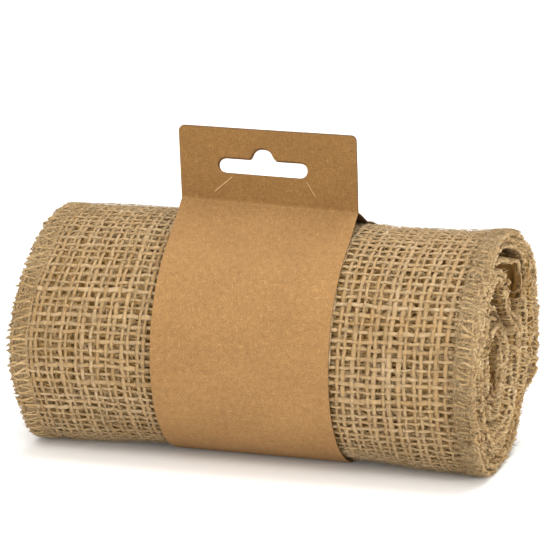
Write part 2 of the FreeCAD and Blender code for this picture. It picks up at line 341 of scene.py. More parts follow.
def make_mesh(name, verts, loops, starts, totals, smooth_shade=True, material_index=None):
    me = bpy.data.meshes.new(name)
    verts = np.asarray(verts, np.float32)
    me.vertices.add(len(verts))
    me.vertices.foreach_set("co", verts.ravel())
    me.loops.add(len(loops))
    me.loops.foreach_set("vertex_index", np.asarray(loops, np.int32))
    me.polygons.add(len(starts))
    me.polygons.foreach_set("loop_start", np.asarray(starts, np.int32))
    me.polygons.foreach_set("loop_total", np.asarray(totals, np.int32))
    me.polygons.foreach_set("use_smooth", np.full(len(starts), smooth_shade, bool))
    if material_index is not None:
        me.polygons.foreach_set("material_index", np.asarray(material_index, np.int32))
    me.update(calc_edges=True)
    me.validate()
    ob = bpy.data.objects.new(name, me)
    bpy.context.scene.collection.objects.link(ob)
    return ob


def add_uv(me, name, uv):
    layer = me.uv_layers.new(name=name, do_init=False)
    layer.data.foreach_set("uv", np.asarray(uv, np.float32).ravel())
    return layer


def tubes(name, P, across, a, b, sides, tone, material, phase=0.0):
    """Closed yarn tubes. P (N,n,3) in mm, across (N,n,3) or (3,), half widths a and b (N,n), tone (N,) or (N,n)."""
    P = np.asarray(P, float)
    N, n, _ = P.shape
    t = np.gradient(P, axis=1)
    t /= np.linalg.norm(t, axis=2, keepdims=True) + 1e-12
    ac = np.broadcast_to(np.asarray(across, float), P.shape)
    ac = ac - (ac * t).sum(2, keepdims=True) * t
    ac /= np.linalg.norm(ac, axis=2, keepdims=True) + 1e-12
    up = np.cross(t, ac)
    a, b = np.broadcast_to(a, (N, n)).copy(), np.broadcast_to(b, (N, n)).copy()
    for arr in (a, b):
        arr[:, 0] *= 0.35
        arr[:, -1] *= 0.35
    ph = phase + 2 * np.pi * np.arange(sides) / sides
    V = (P[:, :, None, :] + (a[:, :, None] * np.cos(ph))[..., None] * ac[:, :, None, :]
         + (b[:, :, None] * np.sin(ph))[..., None] * up[:, :, None, :])
    V = to_row(V.reshape(-1, 3))
    i = np.arange(N)[:, None, None] * (n * sides) + np.arange(n - 1)[None, :, None] * sides
    k = np.arange(sides)[None, None, :]
    k2 = (np.arange(sides)[None, None, :] + 1) % sides
    quads = np.stack([i + k, i + k2, i + sides + k2, i + sides + k], -1).reshape(-1, 4)
    base = np.arange(N)[:, None] * (n * sides)
    cap0 = (base + np.arange(sides)[None, ::-1])
    cap1 = (base + (n - 1) * sides + np.arange(sides)[None, :])
    loops = np.concatenate([quads.ravel(), cap0.ravel(), cap1.ravel()])
    totals = np.concatenate([np.full(len(quads), 4), np.full(2 * N, sides)])
    starts = np.concatenate([[0], np.cumsum(totals)[:-1]])
    ob = make_mesh(name, V, loops, starts, totals)
    me = ob.data
    # length along the yarn and place round it, for the fibres in the material
    seg = np.linalg.norm(np.diff(P, axis=1), axis=2)
    length = np.concatenate([np.zeros((N, 1)), np.cumsum(seg, axis=1)], axis=1)
    u0 = np.broadcast_to(length[:, :-1, None], (N, n - 1, sides))
    u1 = np.broadcast_to(length[:, 1:, None], (N, n - 1, sides))
    v0 = np.broadcast_to(np.arange(sides)[None, None, :] / sides, (N, n - 1, sides))
    v1 = v0 + 1.0 / sides
    uv = np.stack([np.stack([u0, v0], -1), np.stack([u0, v1], -1), np.stack([u1, v1], -1), np.stack([u1, v0], -1)], 3)
    cuv = np.zeros((N, sides, 2))
    add_uv(me, "yarn", np.concatenate([uv.reshape(-1, 2), cuv.reshape(-1, 2), cuv.reshape(-1, 2)]))
    # one row of the bake for each yarn
    top = float(length[:, -1].max())
    cols = max(1, int(math.floor(math.sqrt(N * (sides * 0.55) / max(top, 1e-6) * 1.0)))) if top < 40 else 1
    rws = int(math.ceil(N / cols))
    col, row = np.arange(N) % cols, np.arange(N) // cols
    su = 0.96 / cols / top
    U = lambda w: (col[:, None, None] / cols + 0.02 / cols) + w * su
    W = lambda w: (row[:, None, None] + 0.06 + 0.88 * w) / rws
    ofb = np.stack([np.stack([U(u0), W(v0)], -1), np.stack([U(u0), W(v1)], -1),
                    np.stack([U(u1), W(v1)], -1), np.stack([U(u1), W(v0)], -1)], 3)
    end = lambda w: np.stack([(np.broadcast_to((col / cols + 0.02 / cols)[:, None], (N, sides)) + w * su),
                              np.broadcast_to(((row + 0.5) / rws)[:, None], (N, sides))], -1)
    ce0 = end(0.0) + np.stack([0.002 * np.cos(ph), 0.002 * np.sin(ph)], -1)[None]
    ce1 = end(length[:, -1:]) + np.stack([0.002 * np.cos(ph), 0.002 * np.sin(ph)], -1)[None]
    add_uv(me, "OFBake", np.concatenate([ofb.reshape(-1, 2), ce0.reshape(-1, 2), ce1.reshape(-1, 2)]))
    att = me.attributes.new("tone", "FLOAT", "POINT")
    tn = np.broadcast_to(np.asarray(tone, float).reshape(N, -1), (N, n))
    att.data.foreach_set("value", np.repeat(tn.reshape(-1), sides).astype(np.float32))
    me.materials.append(material)
    return ob


# ------------------------------------------------------------------ materials
def rgb(r, g, b):
    f = lambda c: (c / 255) / 12.92 if c / 255 <= 0.04045 else ((c / 255 + 0.055) / 1.055) ** 2.4
    return (f(r), f(g), f(b), 1.0)


def new_material(name):
    m = bpy.data.materials.new(name)
    m.use_nodes = True
    t = m.node_tree
    t.nodes.clear()
    out = t.nodes.new("ShaderNodeOutputMaterial")
    bs = t.nodes.new("ShaderNodeBsdfPrincipled")
    t.links.new(bs.outputs["BSDF"], out.inputs["Surface"])
    return m, t, bs


def node(t, kind, **values):
    n = t.nodes.new(kind)
    for k, v in values.items():
        if k in n.inputs.keys() if hasattr(n.inputs, "keys") else False:
            n.inputs[k].default_value = v
        else:
            setattr(n, k, v)
    return n


def math_node(t, op, a, b=None, clamp=False):
    n = t.nodes.new("ShaderNodeMath")
    n.operation = op
    n.use_clamp = clamp
    for i, v in enumerate((a, b)):
        if v is None:
            continue
        if isinstance(v, (int, float)):
            n.inputs[i].default_value = v
        else:
            t.links.new(v, n.inputs[i])
    return n.outputs[0]


def ramp(t, fac, stops):
    n = t.nodes.new("ShaderNodeValToRGB")
    e = n.color_ramp.elements
    while len(e) > 1:
        e.remove(e[-1])
    e[0].position, e[0].color = stops[0]
    for p, c in stops[1:]:
        k = e.new(p)
        k.color = c
    t.links.new(fac, n.inputs["Fac"])
    return n.outputs["Color"]


def mix(t, fac, a, b, mode="MIX"):
    n = t.nodes.new("ShaderNodeMix")
    n.data_type = "RGBA"
    n.blend_type = mode
    ins = {s.name + str(i): s for i, s in enumerate(n.inputs)}
    fa, ca, cb = n.inputs[0], n.inputs[6], n.inputs[7]
    for s, v in ((fa, fac), (ca, a), (cb, b)):
        if isinstance(v, (int, float, tuple)):
            s.default_value = v
        else:
            t.links.new(v, s)
    return n.outputs[2]


def noise(t, vector, scale, detail=3.0, rough=0.55, dims="3D"):
    n = t.nodes.new("ShaderNodeTexNoise")
    n.noise_dimensions = dims
    n.inputs["Scale"].default_value = scale
    n.inputs["Detail"].default_value = detail
    n.inputs["Roughness"].default_value = rough
    if vector is not None:
        t.links.new(vector, n.inputs["Vector"])
    return n.outputs["Fac"]


def bump(t, height, strength, distance, bs, normal=None):
    n = t.nodes.new("ShaderNodeBump")
    n.inputs["Strength"].default_value = strength
    n.inputs["Distance"].default_value = distance
    t.links.new(height, n.inputs["Height"])
    if normal is not None:
        t.links.new(normal, n.inputs["Normal"])
    t.links.new(n.outputs["Normal"], bs.inputs["Normal"])
    return n.outputs["Normal"]


def jute_material(name, dark, mid, light, twist=0.16, cells=4.6):
    """Spun jute: long fibres twisted round the yarn, each yarn a little lighter or darker, with dry specks."""
    m, t, bs = new_material(name)
    uv = t.nodes.new("ShaderNodeUVMap")
    uv.uv_map = "yarn"
    sep = t.nodes.new("ShaderNodeSeparateXYZ")
    t.links.new(uv.outputs["UV"], sep.inputs[0])
    tone = t.nodes.new("ShaderNodeAttribute")
    tone.attribute_name = "tone"
    turned = math_node(t, "ADD", sep.outputs[1], math_node(t, "MULTIPLY", sep.outputs[0], twist))
    # the angle wraps round, so it enters the noise as a point on a circle
    ang = math_node(t, "MULTIPLY", turned, 2 * math.pi)
    comb = t.nodes.new("ShaderNodeCombineXYZ")
    t.links.new(math_node(t, "MULTIPLY", math_node(t, "COSINE", ang), cells), comb.inputs[0])
    t.links.new(math_node(t, "MULTIPLY", math_node(t, "SINE", ang), cells), comb.inputs[1])
    t.links.new(math_node(t, "ADD", math_node(t, "MULTIPLY", sep.outputs[0], 0.42),
                          math_node(t, "MULTIPLY", tone.outputs["Fac"], 371.0)), comb.inputs[2])
    fibre = noise(t, comb.outputs[0], 1.0, 3.0, 0.6)
    fine = noise(t, comb.outputs[0], 2.6, 3.0, 0.65)
    obj = t.nodes.new("ShaderNodeTexCoord")
    patch = noise(t, obj.outputs["Object"], 70.0, 3.0, 0.55)
    fleck = noise(t, obj.outputs["Object"], 1500.0, 2.0, 0.6)
    v = math_node(t, "ADD", math_node(t, "MULTIPLY", fibre, 0.55), math_node(t, "MULTIPLY", fine, 0.62))
    v = math_node(t, "ADD", v, math_node(t, "MULTIPLY", math_node(t, "SUBTRACT", tone.outputs["Fac"], 0.62), 0.50))
    v = math_node(t, "ADD", v, math_node(t, "MULTIPLY", math_node(t, "SUBTRACT", patch, 0.5), 0.30))
    v = math_node(t, "ADD", v, math_node(t, "MULTIPLY", math_node(t, "SUBTRACT", fleck, 0.5), 0.22), clamp=True)
    col = ramp(t, v, [(0.22, dark), (0.50, mid), (0.82, light)])
    t.links.new(col, bs.inputs["Base Color"])
    r = math_node(t, "ADD", math_node(t, "MULTIPLY", fine, 0.2), 0.78)
    t.links.new(r, bs.inputs["Roughness"])
    bs.inputs["Specular IOR Level"].default_value = 0.18
    bs.inputs["Sheen Weight"].default_value = 0.12
    bs.inputs["Sheen Roughness"].default_value = 0.6
    bump(t, math_node(t, "ADD", fibre, math_node(t, "MULTIPLY", fine, 0.8)), 0.9, 0.00030, bs)
    return m


YARN = jute_material("jute_yarn", rgb(150, 109, 52), rgb(178, 145, 98), rgb(199, 173, 136))
THREAD = jute_material("overlock_thread", rgb(112, 78, 30), rgb(183, 149, 98), rgb(212, 184, 140), twist=0.25)
# the second turn, always seen in shade through the outer one, is a warmer, more saturated brown: painted shade
DEEP_SHADED = jute_material("jute_yarn_second_turn_painted_shade", rgb(138, 92, 22), rgb(184, 139, 66), rgb(208, 168, 106))
FIBRE = jute_material("loose_fibre", rgb(158, 124, 72), rgb(194, 163, 115), rgb(220, 195, 152), twist=0.0)


def sheet_material():
    """Deeper turns of the same cloth, seen through the outer ones and at the ends of the roll, in warmer, more
    saturated browns as painted shade, with painted dark holes.
    """
    m, t, bs = new_material("jute_inner_turns")
    uv = t.nodes.new("ShaderNodeUVMap")
    uv.uv_map = "cloth"
    sep = t.nodes.new("ShaderNodeSeparateXYZ")
    t.links.new(uv.outputs["UV"], sep.inputs[0])
    su, sx = sep.outputs[0], sep.outputs[1]          # yarn numbers along and across the cloth
    wob = t.nodes.new("ShaderNodeTexCoord")
    n1 = noise(t, uv.outputs["UV"], 0.35, 2.0, 0.5)
    off = math_node(t, "MULTIPLY", math_node(t, "SUBTRACT", n1, 0.5), 0.6)
    fu = math_node(t, "ABSOLUTE", math_node(t, "SUBTRACT", math_node(t, "FRACT", math_node(t, "ADD", su, off)), 0.5))
    fx = math_node(t, "ABSOLUTE", math_node(t, "SUBTRACT", math_node(t, "FRACT", math_node(t, "ADD", sx, off)), 0.5))
    # a hole is painted dark at the middle of each cell, away from both yarns: painted shade in place of the shade seen
    # through real holes
    hu = math_node(t, "MULTIPLY", math_node(t, "SUBTRACT", fu, 0.24), 9.0, clamp=True)
    hx = math_node(t, "MULTIPLY", math_node(t, "SUBTRACT", fx, 0.24), 9.0, clamp=True)
    hole = math_node(t, "MULTIPLY", hu, hx)
    mp = t.nodes.new("ShaderNodeMapping")
    mp.inputs["Scale"].default_value = (1.0, 6.0, 1.0)
    t.links.new(uv.outputs["UV"], mp.inputs["Vector"])
    f1 = noise(t, mp.outputs[0], 1.4, 4.0, 0.65)
    mp2 = t.nodes.new("ShaderNodeMapping")
    mp2.inputs["Scale"].default_value = (6.0, 1.0, 1.0)
    t.links.new(uv.outputs["UV"], mp2.inputs["Vector"])
    f2 = noise(t, mp2.outputs[0], 1.4, 4.0, 0.65)
    fib = math_node(t, "MULTIPLY", math_node(t, "ADD", f1, f2), 0.5)
    col = ramp(t, fib, [(0.28, rgb(132, 88, 22)), (0.5, rgb(182, 137, 66)), (0.72, rgb(206, 166, 104))])
    col = mix(t, hole, col, rgb(104, 66, 14))
    edge = t.nodes.new("ShaderNodeAttribute")
    edge.attribute_name = "hem"                      # where the thread covers the cloth
    col = mix(t, edge.outputs["Fac"], col, ramp(t, fib, [(0.3, rgb(122, 92, 48)), (0.7, rgb(178, 147, 98))]))
    # painted shade: the cloth deep in the right end's openings, and between the stitches of the deeper hems, is painted
    # darker
    deep = t.nodes.new("ShaderNodeAttribute")
    deep.attribute_name = "painted_shade"
    col = mix(t, deep.outputs["Fac"], col, ramp(t, fib, [(0.3, rgb(80, 54, 18)), (0.7, rgb(118, 84, 34))]))
    t.links.new(col, bs.inputs["Base Color"])
    t.links.new(math_node(t, "ADD", math_node(t, "MULTIPLY", fib, 0.2), 0.75), bs.inputs["Roughness"])
    bs.inputs["Specular IOR Level"].default_value = 0.2
    bump(t, math_node(t, "SUBTRACT", math_node(t, "MULTIPLY", fib, 0.5), hole), 0.8, 0.0005, bs)
    return m


INNER = sheet_material()


def near_line(t, x, y, p, q, half):
    """1 on a fine line from p to q, 0 off it."""
    dx, dy = q[0] - p[0], q[1] - p[1]
    long = math.hypot(dx, dy)
    ux, uy = dx / long, dy / long
    rx, ry = math_node(t, "SUBTRACT", x, p[0]), math_node(t, "SUBTRACT", y, p[1])
    al = math_node(t, "ADD", math_node(t, "MULTIPLY", rx, ux), math_node(t, "MULTIPLY", ry, uy))
    ac = math_node(t, "ABSOLUTE", math_node(t, "ADD", math_node(t, "MULTIPLY", rx, -uy), math_node(t, "MULTIPLY", ry, ux)))
    on = math_node(t, "MULTIPLY", math_node(t, "SUBTRACT", half, ac), 12.0, clamp=True)
    a = math_node(t, "MULTIPLY", al, 8.0, clamp=True)
    b = math_node(t, "MULTIPLY", math_node(t, "SUBTRACT", long, al), 8.0, clamp=True)
    return math_node(t, "MULTIPLY", on, math_node(t, "MULTIPLY", a, b))


def kraft_material(name="kraft_card", edge=False):
    """Uncoated recycled kraft card: fine grain, pale and dark fibres pressed flat, cloudy formation."""
    m, t, bs = new_material(name)
    uv = t.nodes.new("ShaderNodeUVMap")
    uv.uv_map = "card"
    uvv = uv.outputs["UV"]
    sep = t.nodes.new("ShaderNodeSeparateXYZ")
    t.links.new(uvv, sep.inputs[0])
    tabn = t.nodes.new("ShaderNodeAttribute")
    tabn.attribute_name = "tab"
    cloud = noise(t, uvv, 0.055, 3.0, 0.55)
    grain = noise(t, uvv, 1.9, 4.0, 0.68)
    mottle = noise(t, uvv, 0.55, 3.0, 0.6)

    def pressed(angle, scale, cut):
        mp = t.nodes.new("ShaderNodeMapping")
        mp.vector_type = "TEXTURE"
        mp.inputs["Rotation"].default_value = (0, 0, angle)
        mp.inputs["Scale"].default_value = (2.6, 0.42, 1.0)
        t.links.new(uvv, mp.inputs["Vector"])
        f = noise(t, mp.outputs[0], scale, 2.0, 0.55)
        return math_node(t, "MULTIPLY", math_node(t, "SUBTRACT", f, cut), 9.0, clamp=True), f

    dark_a, fa = pressed(0.45, 0.9, 0.62)
    dark_b, fb = pressed(-1.1, 0.8, 0.64)
    pale_a, fc = pressed(1.35, 0.95, 0.62)
    pale_b, fd = pressed(-0.35, 0.85, 0.63)
    base = ramp(t, cloud, [(0.3, rgb(133, 99, 59)), (0.7, rgb(141, 106, 64))])
    shade = ramp(t, grain, [(0.30, (0.66, 0.64, 0.60, 1)), (0.5, (0.98, 0.98, 0.98, 1)), (0.70, (1.24, 1.24, 1.24, 1))])
    col = mix(t, 1.0, base, shade, "MULTIPLY")
    blot = ramp(t, mottle, [(0.3, (0.89, 0.88, 0.86, 1)), (0.7, (1.10, 1.10, 1.10, 1))])
    col = mix(t, 1.0, col, blot, "MULTIPLY")
    col = mix(t, math_node(t, "MULTIPLY", math_node(t, "MAXIMUM", dark_a, dark_b), 0.42), col, rgb(96, 62, 32))
    col = mix(t, math_node(t, "MULTIPLY", math_node(t, "MAXIMUM", pale_a, pale_b), 0.34), col, rgb(190, 152, 104))
    if edge:
        # painted shade: cut edges and the faces between the plies are darkened, for the shade in the card's thickness
        # and between the plies
        col = mix(t, 0.7, col, rgb(90, 61, 34))
    # the tab's colour is multiplied darker and browner than the band's
    col = mix(t, tabn.outputs["Fac"], col, mix(t, 1.0, col, (0.755, 0.71, 0.575, 1), "MULTIPLY"))
    # painted shade: the card's inner faces in the fold, which the light hardly reaches, are multiplied darker
    shade = t.nodes.new("ShaderNodeAttribute")
    shade.attribute_name = "fold_painted_shade"
    col = mix(t, shade.outputs["Fac"], col, mix(t, 1.0, col, (0.34, 0.30, 0.26, 1), "MULTIPLY"))
    if not edge:
        # two fine pale lines run out from under the slot, each with a thin painted shadow line beside it
        l1 = near_line(t, sep.outputs[0], sep.outputs[1], (-12.0, 16.4), (-18.2, 22.0), 0.17)
        l2 = near_line(t, sep.outputs[0], sep.outputs[1], (12.6, 15.9), (15.5, 20.8), 0.13)
        shadow_line_l = near_line(t, sep.outputs[0], sep.outputs[1], (-11.7, 16.8), (-17.9, 22.4), 0.20)
        shadow_line_r = near_line(t, sep.outputs[0], sep.outputs[1], (12.2, 16.1), (15.1, 21.0), 0.18)
        col = mix(t, math_node(t, "MULTIPLY", math_node(t, "MAXIMUM", shadow_line_l, shadow_line_r), 0.35), col, rgb(96, 66, 38))
        col = mix(t, math_node(t, "MULTIPLY", math_node(t, "MAXIMUM", l1, l2), 0.48), col, rgb(206, 172, 128))
    t.links.new(col, bs.inputs["Base Color"])
    t.links.new(math_node(t, "ADD", math_node(t, "MULTIPLY", grain, 0.18), 0.72), bs.inputs["Roughness"])
    bs.inputs["Specular IOR Level"].default_value = 0.25
    h = math_node(t, "ADD", grain, math_node(t, "MULTIPLY", math_node(t, "ADD", fa, fc), 0.5))
    bump(t, h, 0.35, 0.00009, bs)
    return m


KRAFT = kraft_material()
KRAFT_EDGE_PAINTED_SHADE = kraft_material("kraft_cut_edge_painted_shade", True)


def glue_material():
    m, t, bs = new_material("glue_film")
    tc = t.nodes.new("ShaderNodeTexCoord")
    f = noise(t, tc.outputs["Object"], 900.0, 3.0, 0.6)
    t.links.new(ramp(t, f, [(0.3, rgb(206, 186, 146)), (0.7, rgb(226, 210, 176))]), bs.inputs["Base Color"])
    t.links.new(math_node(t, "ADD", math_node(t, "MULTIPLY", f, 0.25), 0.3), bs.inputs["Roughness"])
    bump(t, f, 0.3, 0.00005, bs)
    return m


GLUE = glue_material()

# ------------------------------------------------------------------ camera and light, first
cam_data = bpy.data.cameras.new("camera")
cam = bpy.data.objects.new("camera", cam_data)
bpy.context.scene.collection.objects.link(cam)
bpy.context.scene.camera = cam
AZ, EL, DIST = math.radians(17.093), math.radians(15.126), 1300.0
rt = np.array([math.cos(AZ), math.sin(AZ), 0.0])
bk = np.array([math.sin(AZ) * math.cos(EL), -math.cos(AZ) * math.cos(EL), math.sin(EL)])
upv = np.cross(bk, rt)
target = np.array([3.0, 0.0, AXIS_Z])
look = target - 2.39 * rt + 19.35 * upv
eye = target + DIST * bk
cam.location = Vector(eye * MM)
cam.rotation_euler = (Vector(look * MM) - Vector(eye * MM)).to_track_quat("-Z", "Y").to_euler()
cam_data.sensor_width = 36.0
cam_data.lens = 36.0 * float(np.linalg.norm(eye - look)) / (550.0 / 3.085)
cam_data.clip_start, cam_data.clip_end = 0.05, 20.0

bpy.context.scene.view_settings.view_transform = "Standard"
bpy.context.scene.view_settings.look = "None"

world = bpy.data.worlds.new("studio")
bpy.context.scene.world = world
world.use_nodes = True
world.node_tree.nodes["Background"].inputs[0].default_value = (1.0, 0.98, 0.945, 1)
world.node_tree.nodes["Background"].inputs[1].default_value = 0.68


def area(name, loc, look_at, size, power, color=(1, 1, 1)):
    d = bpy.data.lights.new(name, "AREA")
    d.shape = "DISK"
    d.size = size
    d.energy = power
    d.color = color
    o = bpy.data.objects.new(name, d)
    o.location = loc
    o.rotation_euler = (Vector(look_at) - Vector(loc)).to_track_quat("-Z", "Y").to_euler()
    bpy.context.scene.collection.objects.link(o)
    return o


area("key", (-0.35, -0.70, 1.1), (0, 0, 0.04), 0.7, 5.4, (1.0, 0.99, 0.97))
area("fill", (1.05, -0.50, 0.38), (0, 0, 0.05), 0.6, 11.0, (1.0, 0.99, 0.96))
area("low", (0.0, -1.05, 0.13), (0, 0, 0.03), 0.6, 5.0, (1.0, 0.99, 0.96))
area("top", (0.1, 0.10, 1.1), (0, 0, 0.05), 0.8, 11.4)

me = bpy.data.meshes.new("floor")
n_ring, R_FLOOR = 96, 6.0
fv = [(R_FLOOR * math.cos(2 * math.pi * i / n_ring), R_FLOOR * math.sin(2 * math.pi * i / n_ring), -0.0002) for i in range(n_ring)]
me.from_pydata(fv, [], [list(range(n_ring))])
floor = bpy.data.objects.new("floor", me)
bpy.context.scene.collection.objects.link(floor)
fm, ft, fb = new_material("floor_paper")
fn = noise(ft, None, 4.0, 2.0, 0.5)
ft.links.new(ramp(ft, fn, [(0.3, (0.90, 0.90, 0.895, 1)), (0.7, (0.93, 0.93, 0.925, 1))]), fb.inputs["Base Color"])
fb.inputs["Roughness"].default_value = 0.9
fb.inputs["Specular IOR Level"].default_value = 0.1
me.materials.append(fm)

# ------------------------------------------------------------------ woven cloth: yarn positions
P_WEFT = 2.80
X_SEL = 69.8                     # inside this the cloth is open, outside it the yarns are close


def warp_places():
    xs = []
    x = -X_SEL + 0.6
    k = 0
    while x < X_SEL - 0.4:
        xs.append(x)
        x += 1.90 if k % 2 == 0 else 3.18
        k += 1
    edge = [X_SEL + 0.9 + 1.15 * i for i in range(5)]
    return np.array([-e for e in reversed(edge)] + xs + edge)


XW = warp_places()
rng = np.random.RandomState(5)
XW = XW + rng.uniform(-0.13, 0.13, len(XW))
N_WEFT = int(LENGTH / P_WEFT) + 2
SW = np.arange(N_WEFT) * P_WEFT + 1.2
SW = SW + np.random.RandomState(6).uniform(-0.30, 0.30, N_WEFT)
CRIMP = 0.20


def warp_tubes(name, cols, s0, s1, ds, sides, seed, thick=1.0, material=YARN):
    """Yarns that run along the ribbon, numbered cols, from s0 to s1."""
    r = np.random.RandomState(seed)
    cols = np.asarray(cols)
    n = int(round((s1 - s0) / ds)) + 1
    s = np.linspace(s0, s1, n)
    N = len(cols)
    xj = XW[cols][:, None]
    own = np.concatenate([rows_of_waves(np.random.RandomState(900 + int(c)), 1, s, (5.1, 9.0, 19.0, 47.0),
                                        (0.05, 0.07, 0.09, 0.12)) for c in cols])
    own = own * np.where(np.abs(xj) > X_SEL, 0.4, 1.0)
    x = xj + own
    S = np.broadcast_to(s[None, :], (N, n)) + 0.0
    fx = field_x(S, x)
    fs = field_s(S, x)
    idx = np.interp(S - fs, SW, np.arange(N_WEFT))        # which weft is crossed here
    h = 1.08 * CRIMP * np.cos(np.pi * (idx + cols[:, None]))
    fat = np.exp(rows_of_waves(r, N, s, (2.3, 4.7, 9.0, 23.0, 70.0), (0.06, 0.08, 0.09, 0.10, 0.10))
                 + 0.15 * np.clip(r.randn(N, 1), -1.6, 1.6))
    a = 0.60 * fat * thick
    b = 0.25 * np.sqrt(fat)
    edge = (np.abs(xj) > X_SEL)
    a = np.where(edge, np.minimum(a, 0.60), a)
    H = h + field_h(S, x)
    P = place(S, x + fx * np.where(edge, 0.35, 1.0), H)
    tone = 0.47 + 0.10 * r.randn(N, 1) + rows_of_waves(r, N, s, (5.0, 13.0, 31.0, 90.0), (0.05, 0.05, 0.06, 0.06))
    return tubes(name, P, np.array([1.0, 0, 0]), a, b, sides, np.clip(tone, 0.02, 0.98), material)


def weft_tubes(name, rows, dx, sides, seed, thick=1.0, reach=75.3, material=YARN):
    """Yarns that run across the ribbon, numbered rows."""
    r = np.random.RandomState(seed)
    rows = np.asarray(rows)
    n = int(round(2 * reach / dx)) + 1
    x = np.linspace(-reach, reach, n)
    N = len(rows)
    X = np.broadcast_to(x[None, :], (N, n)) + 0.0
    si = SW[rows][:, None] + rows_of_waves(r, N, x, (4.3, 8.0, 17.0, 38.0), (0.06, 0.10, 0.14, 0.16))
    fs = field_s(si, X)
    fx = field_x(si, X)
    idx = np.interp(X, XW, np.arange(len(XW)))            # which warp is crossed here
    h = -0.88 * CRIMP * np.cos(np.pi * (idx + rows[:, None]))
    fat = np.exp(rows_of_waves(r, N, x, (2.3, 4.9, 10.0, 26.0, 80.0), (0.07, 0.09, 0.10, 0.11, 0.12))
                 + 0.16 * np.clip(r.randn(N, 1), -1.5, 1.9))
    # slubs: short thick places that jute always has
    for _ in range(max(1, N // 5)):
        k, c, w = r.randint(N), r.uniform(-68, 68), r.uniform(2.5, 7.0)
        fat[k] *= 1 + r.uniform(0.35, 0.8) * np.exp(-((x - c) / w) ** 2)
    a = np.minimum(0.61 * fat * thick, 1.15)
    b = np.minimum(0.25 * np.sqrt(fat), 0.34)
    S = si + fs
    P = place(S, X + fx * np.where(np.abs(X) > X_SEL, 0.35, 1.0), h + field_h(S, X))
    tone = 0.57 + 0.09 * r.randn(N, 1) + rows_of_waves(r, N, x, (5.0, 12.0, 27.0, 75.0), (0.05, 0.05, 0.06, 0.06))
    return tubes(name, P, along(S), a, b, sides, np.clip(tone, 0.02, 0.98), material)


ROLL = "ribbon_roll"
cloth_parts = []


def keep(ob, body=ROLL, parts=cloth_parts):
    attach(ob, body)
    if parts is not None:
        parts.append(ob)
    return ob


n_w = len(XW)
third = n_w // 3
keep(warp_tubes("warp_outer_left", range(0, third), -1.2, S_OUT, 0.66, 6, 21))
keep(warp_tubes("warp_outer_middle", range(third, 2 * third), -1.2, S_OUT, 0.66, 6, 22))
keep(warp_tubes("warp_outer_right", range(2 * third, n_w), -1.2, S_OUT, 0.66, 6, 23))
k_out = int(np.searchsorted(SW, S_OUT))
k_two = int(np.searchsorted(SW, S_TWO))
keep(weft_tubes("weft_outer_a", range(0, k_out // 2), 0.62, 6, 31))
keep(weft_tubes("weft_outer_b", range(k_out // 2, k_out), 0.62, 6, 32))
keep(warp_tubes("warp_second_left", range(0, n_w // 2), S_OUT, S_TWO, 1.1, 5, 24, thick=1.06, material=DEEP_SHADED))
keep(warp_tubes("warp_second_right", range(n_w // 2, n_w), S_OUT, S_TWO, 1.1, 5, 25, thick=1.06, material=DEEP_SHADED))
keep(weft_tubes("weft_second", range(k_out, k_two), 1.05, 5, 33, thick=1.06, material=DEEP_SHADED))


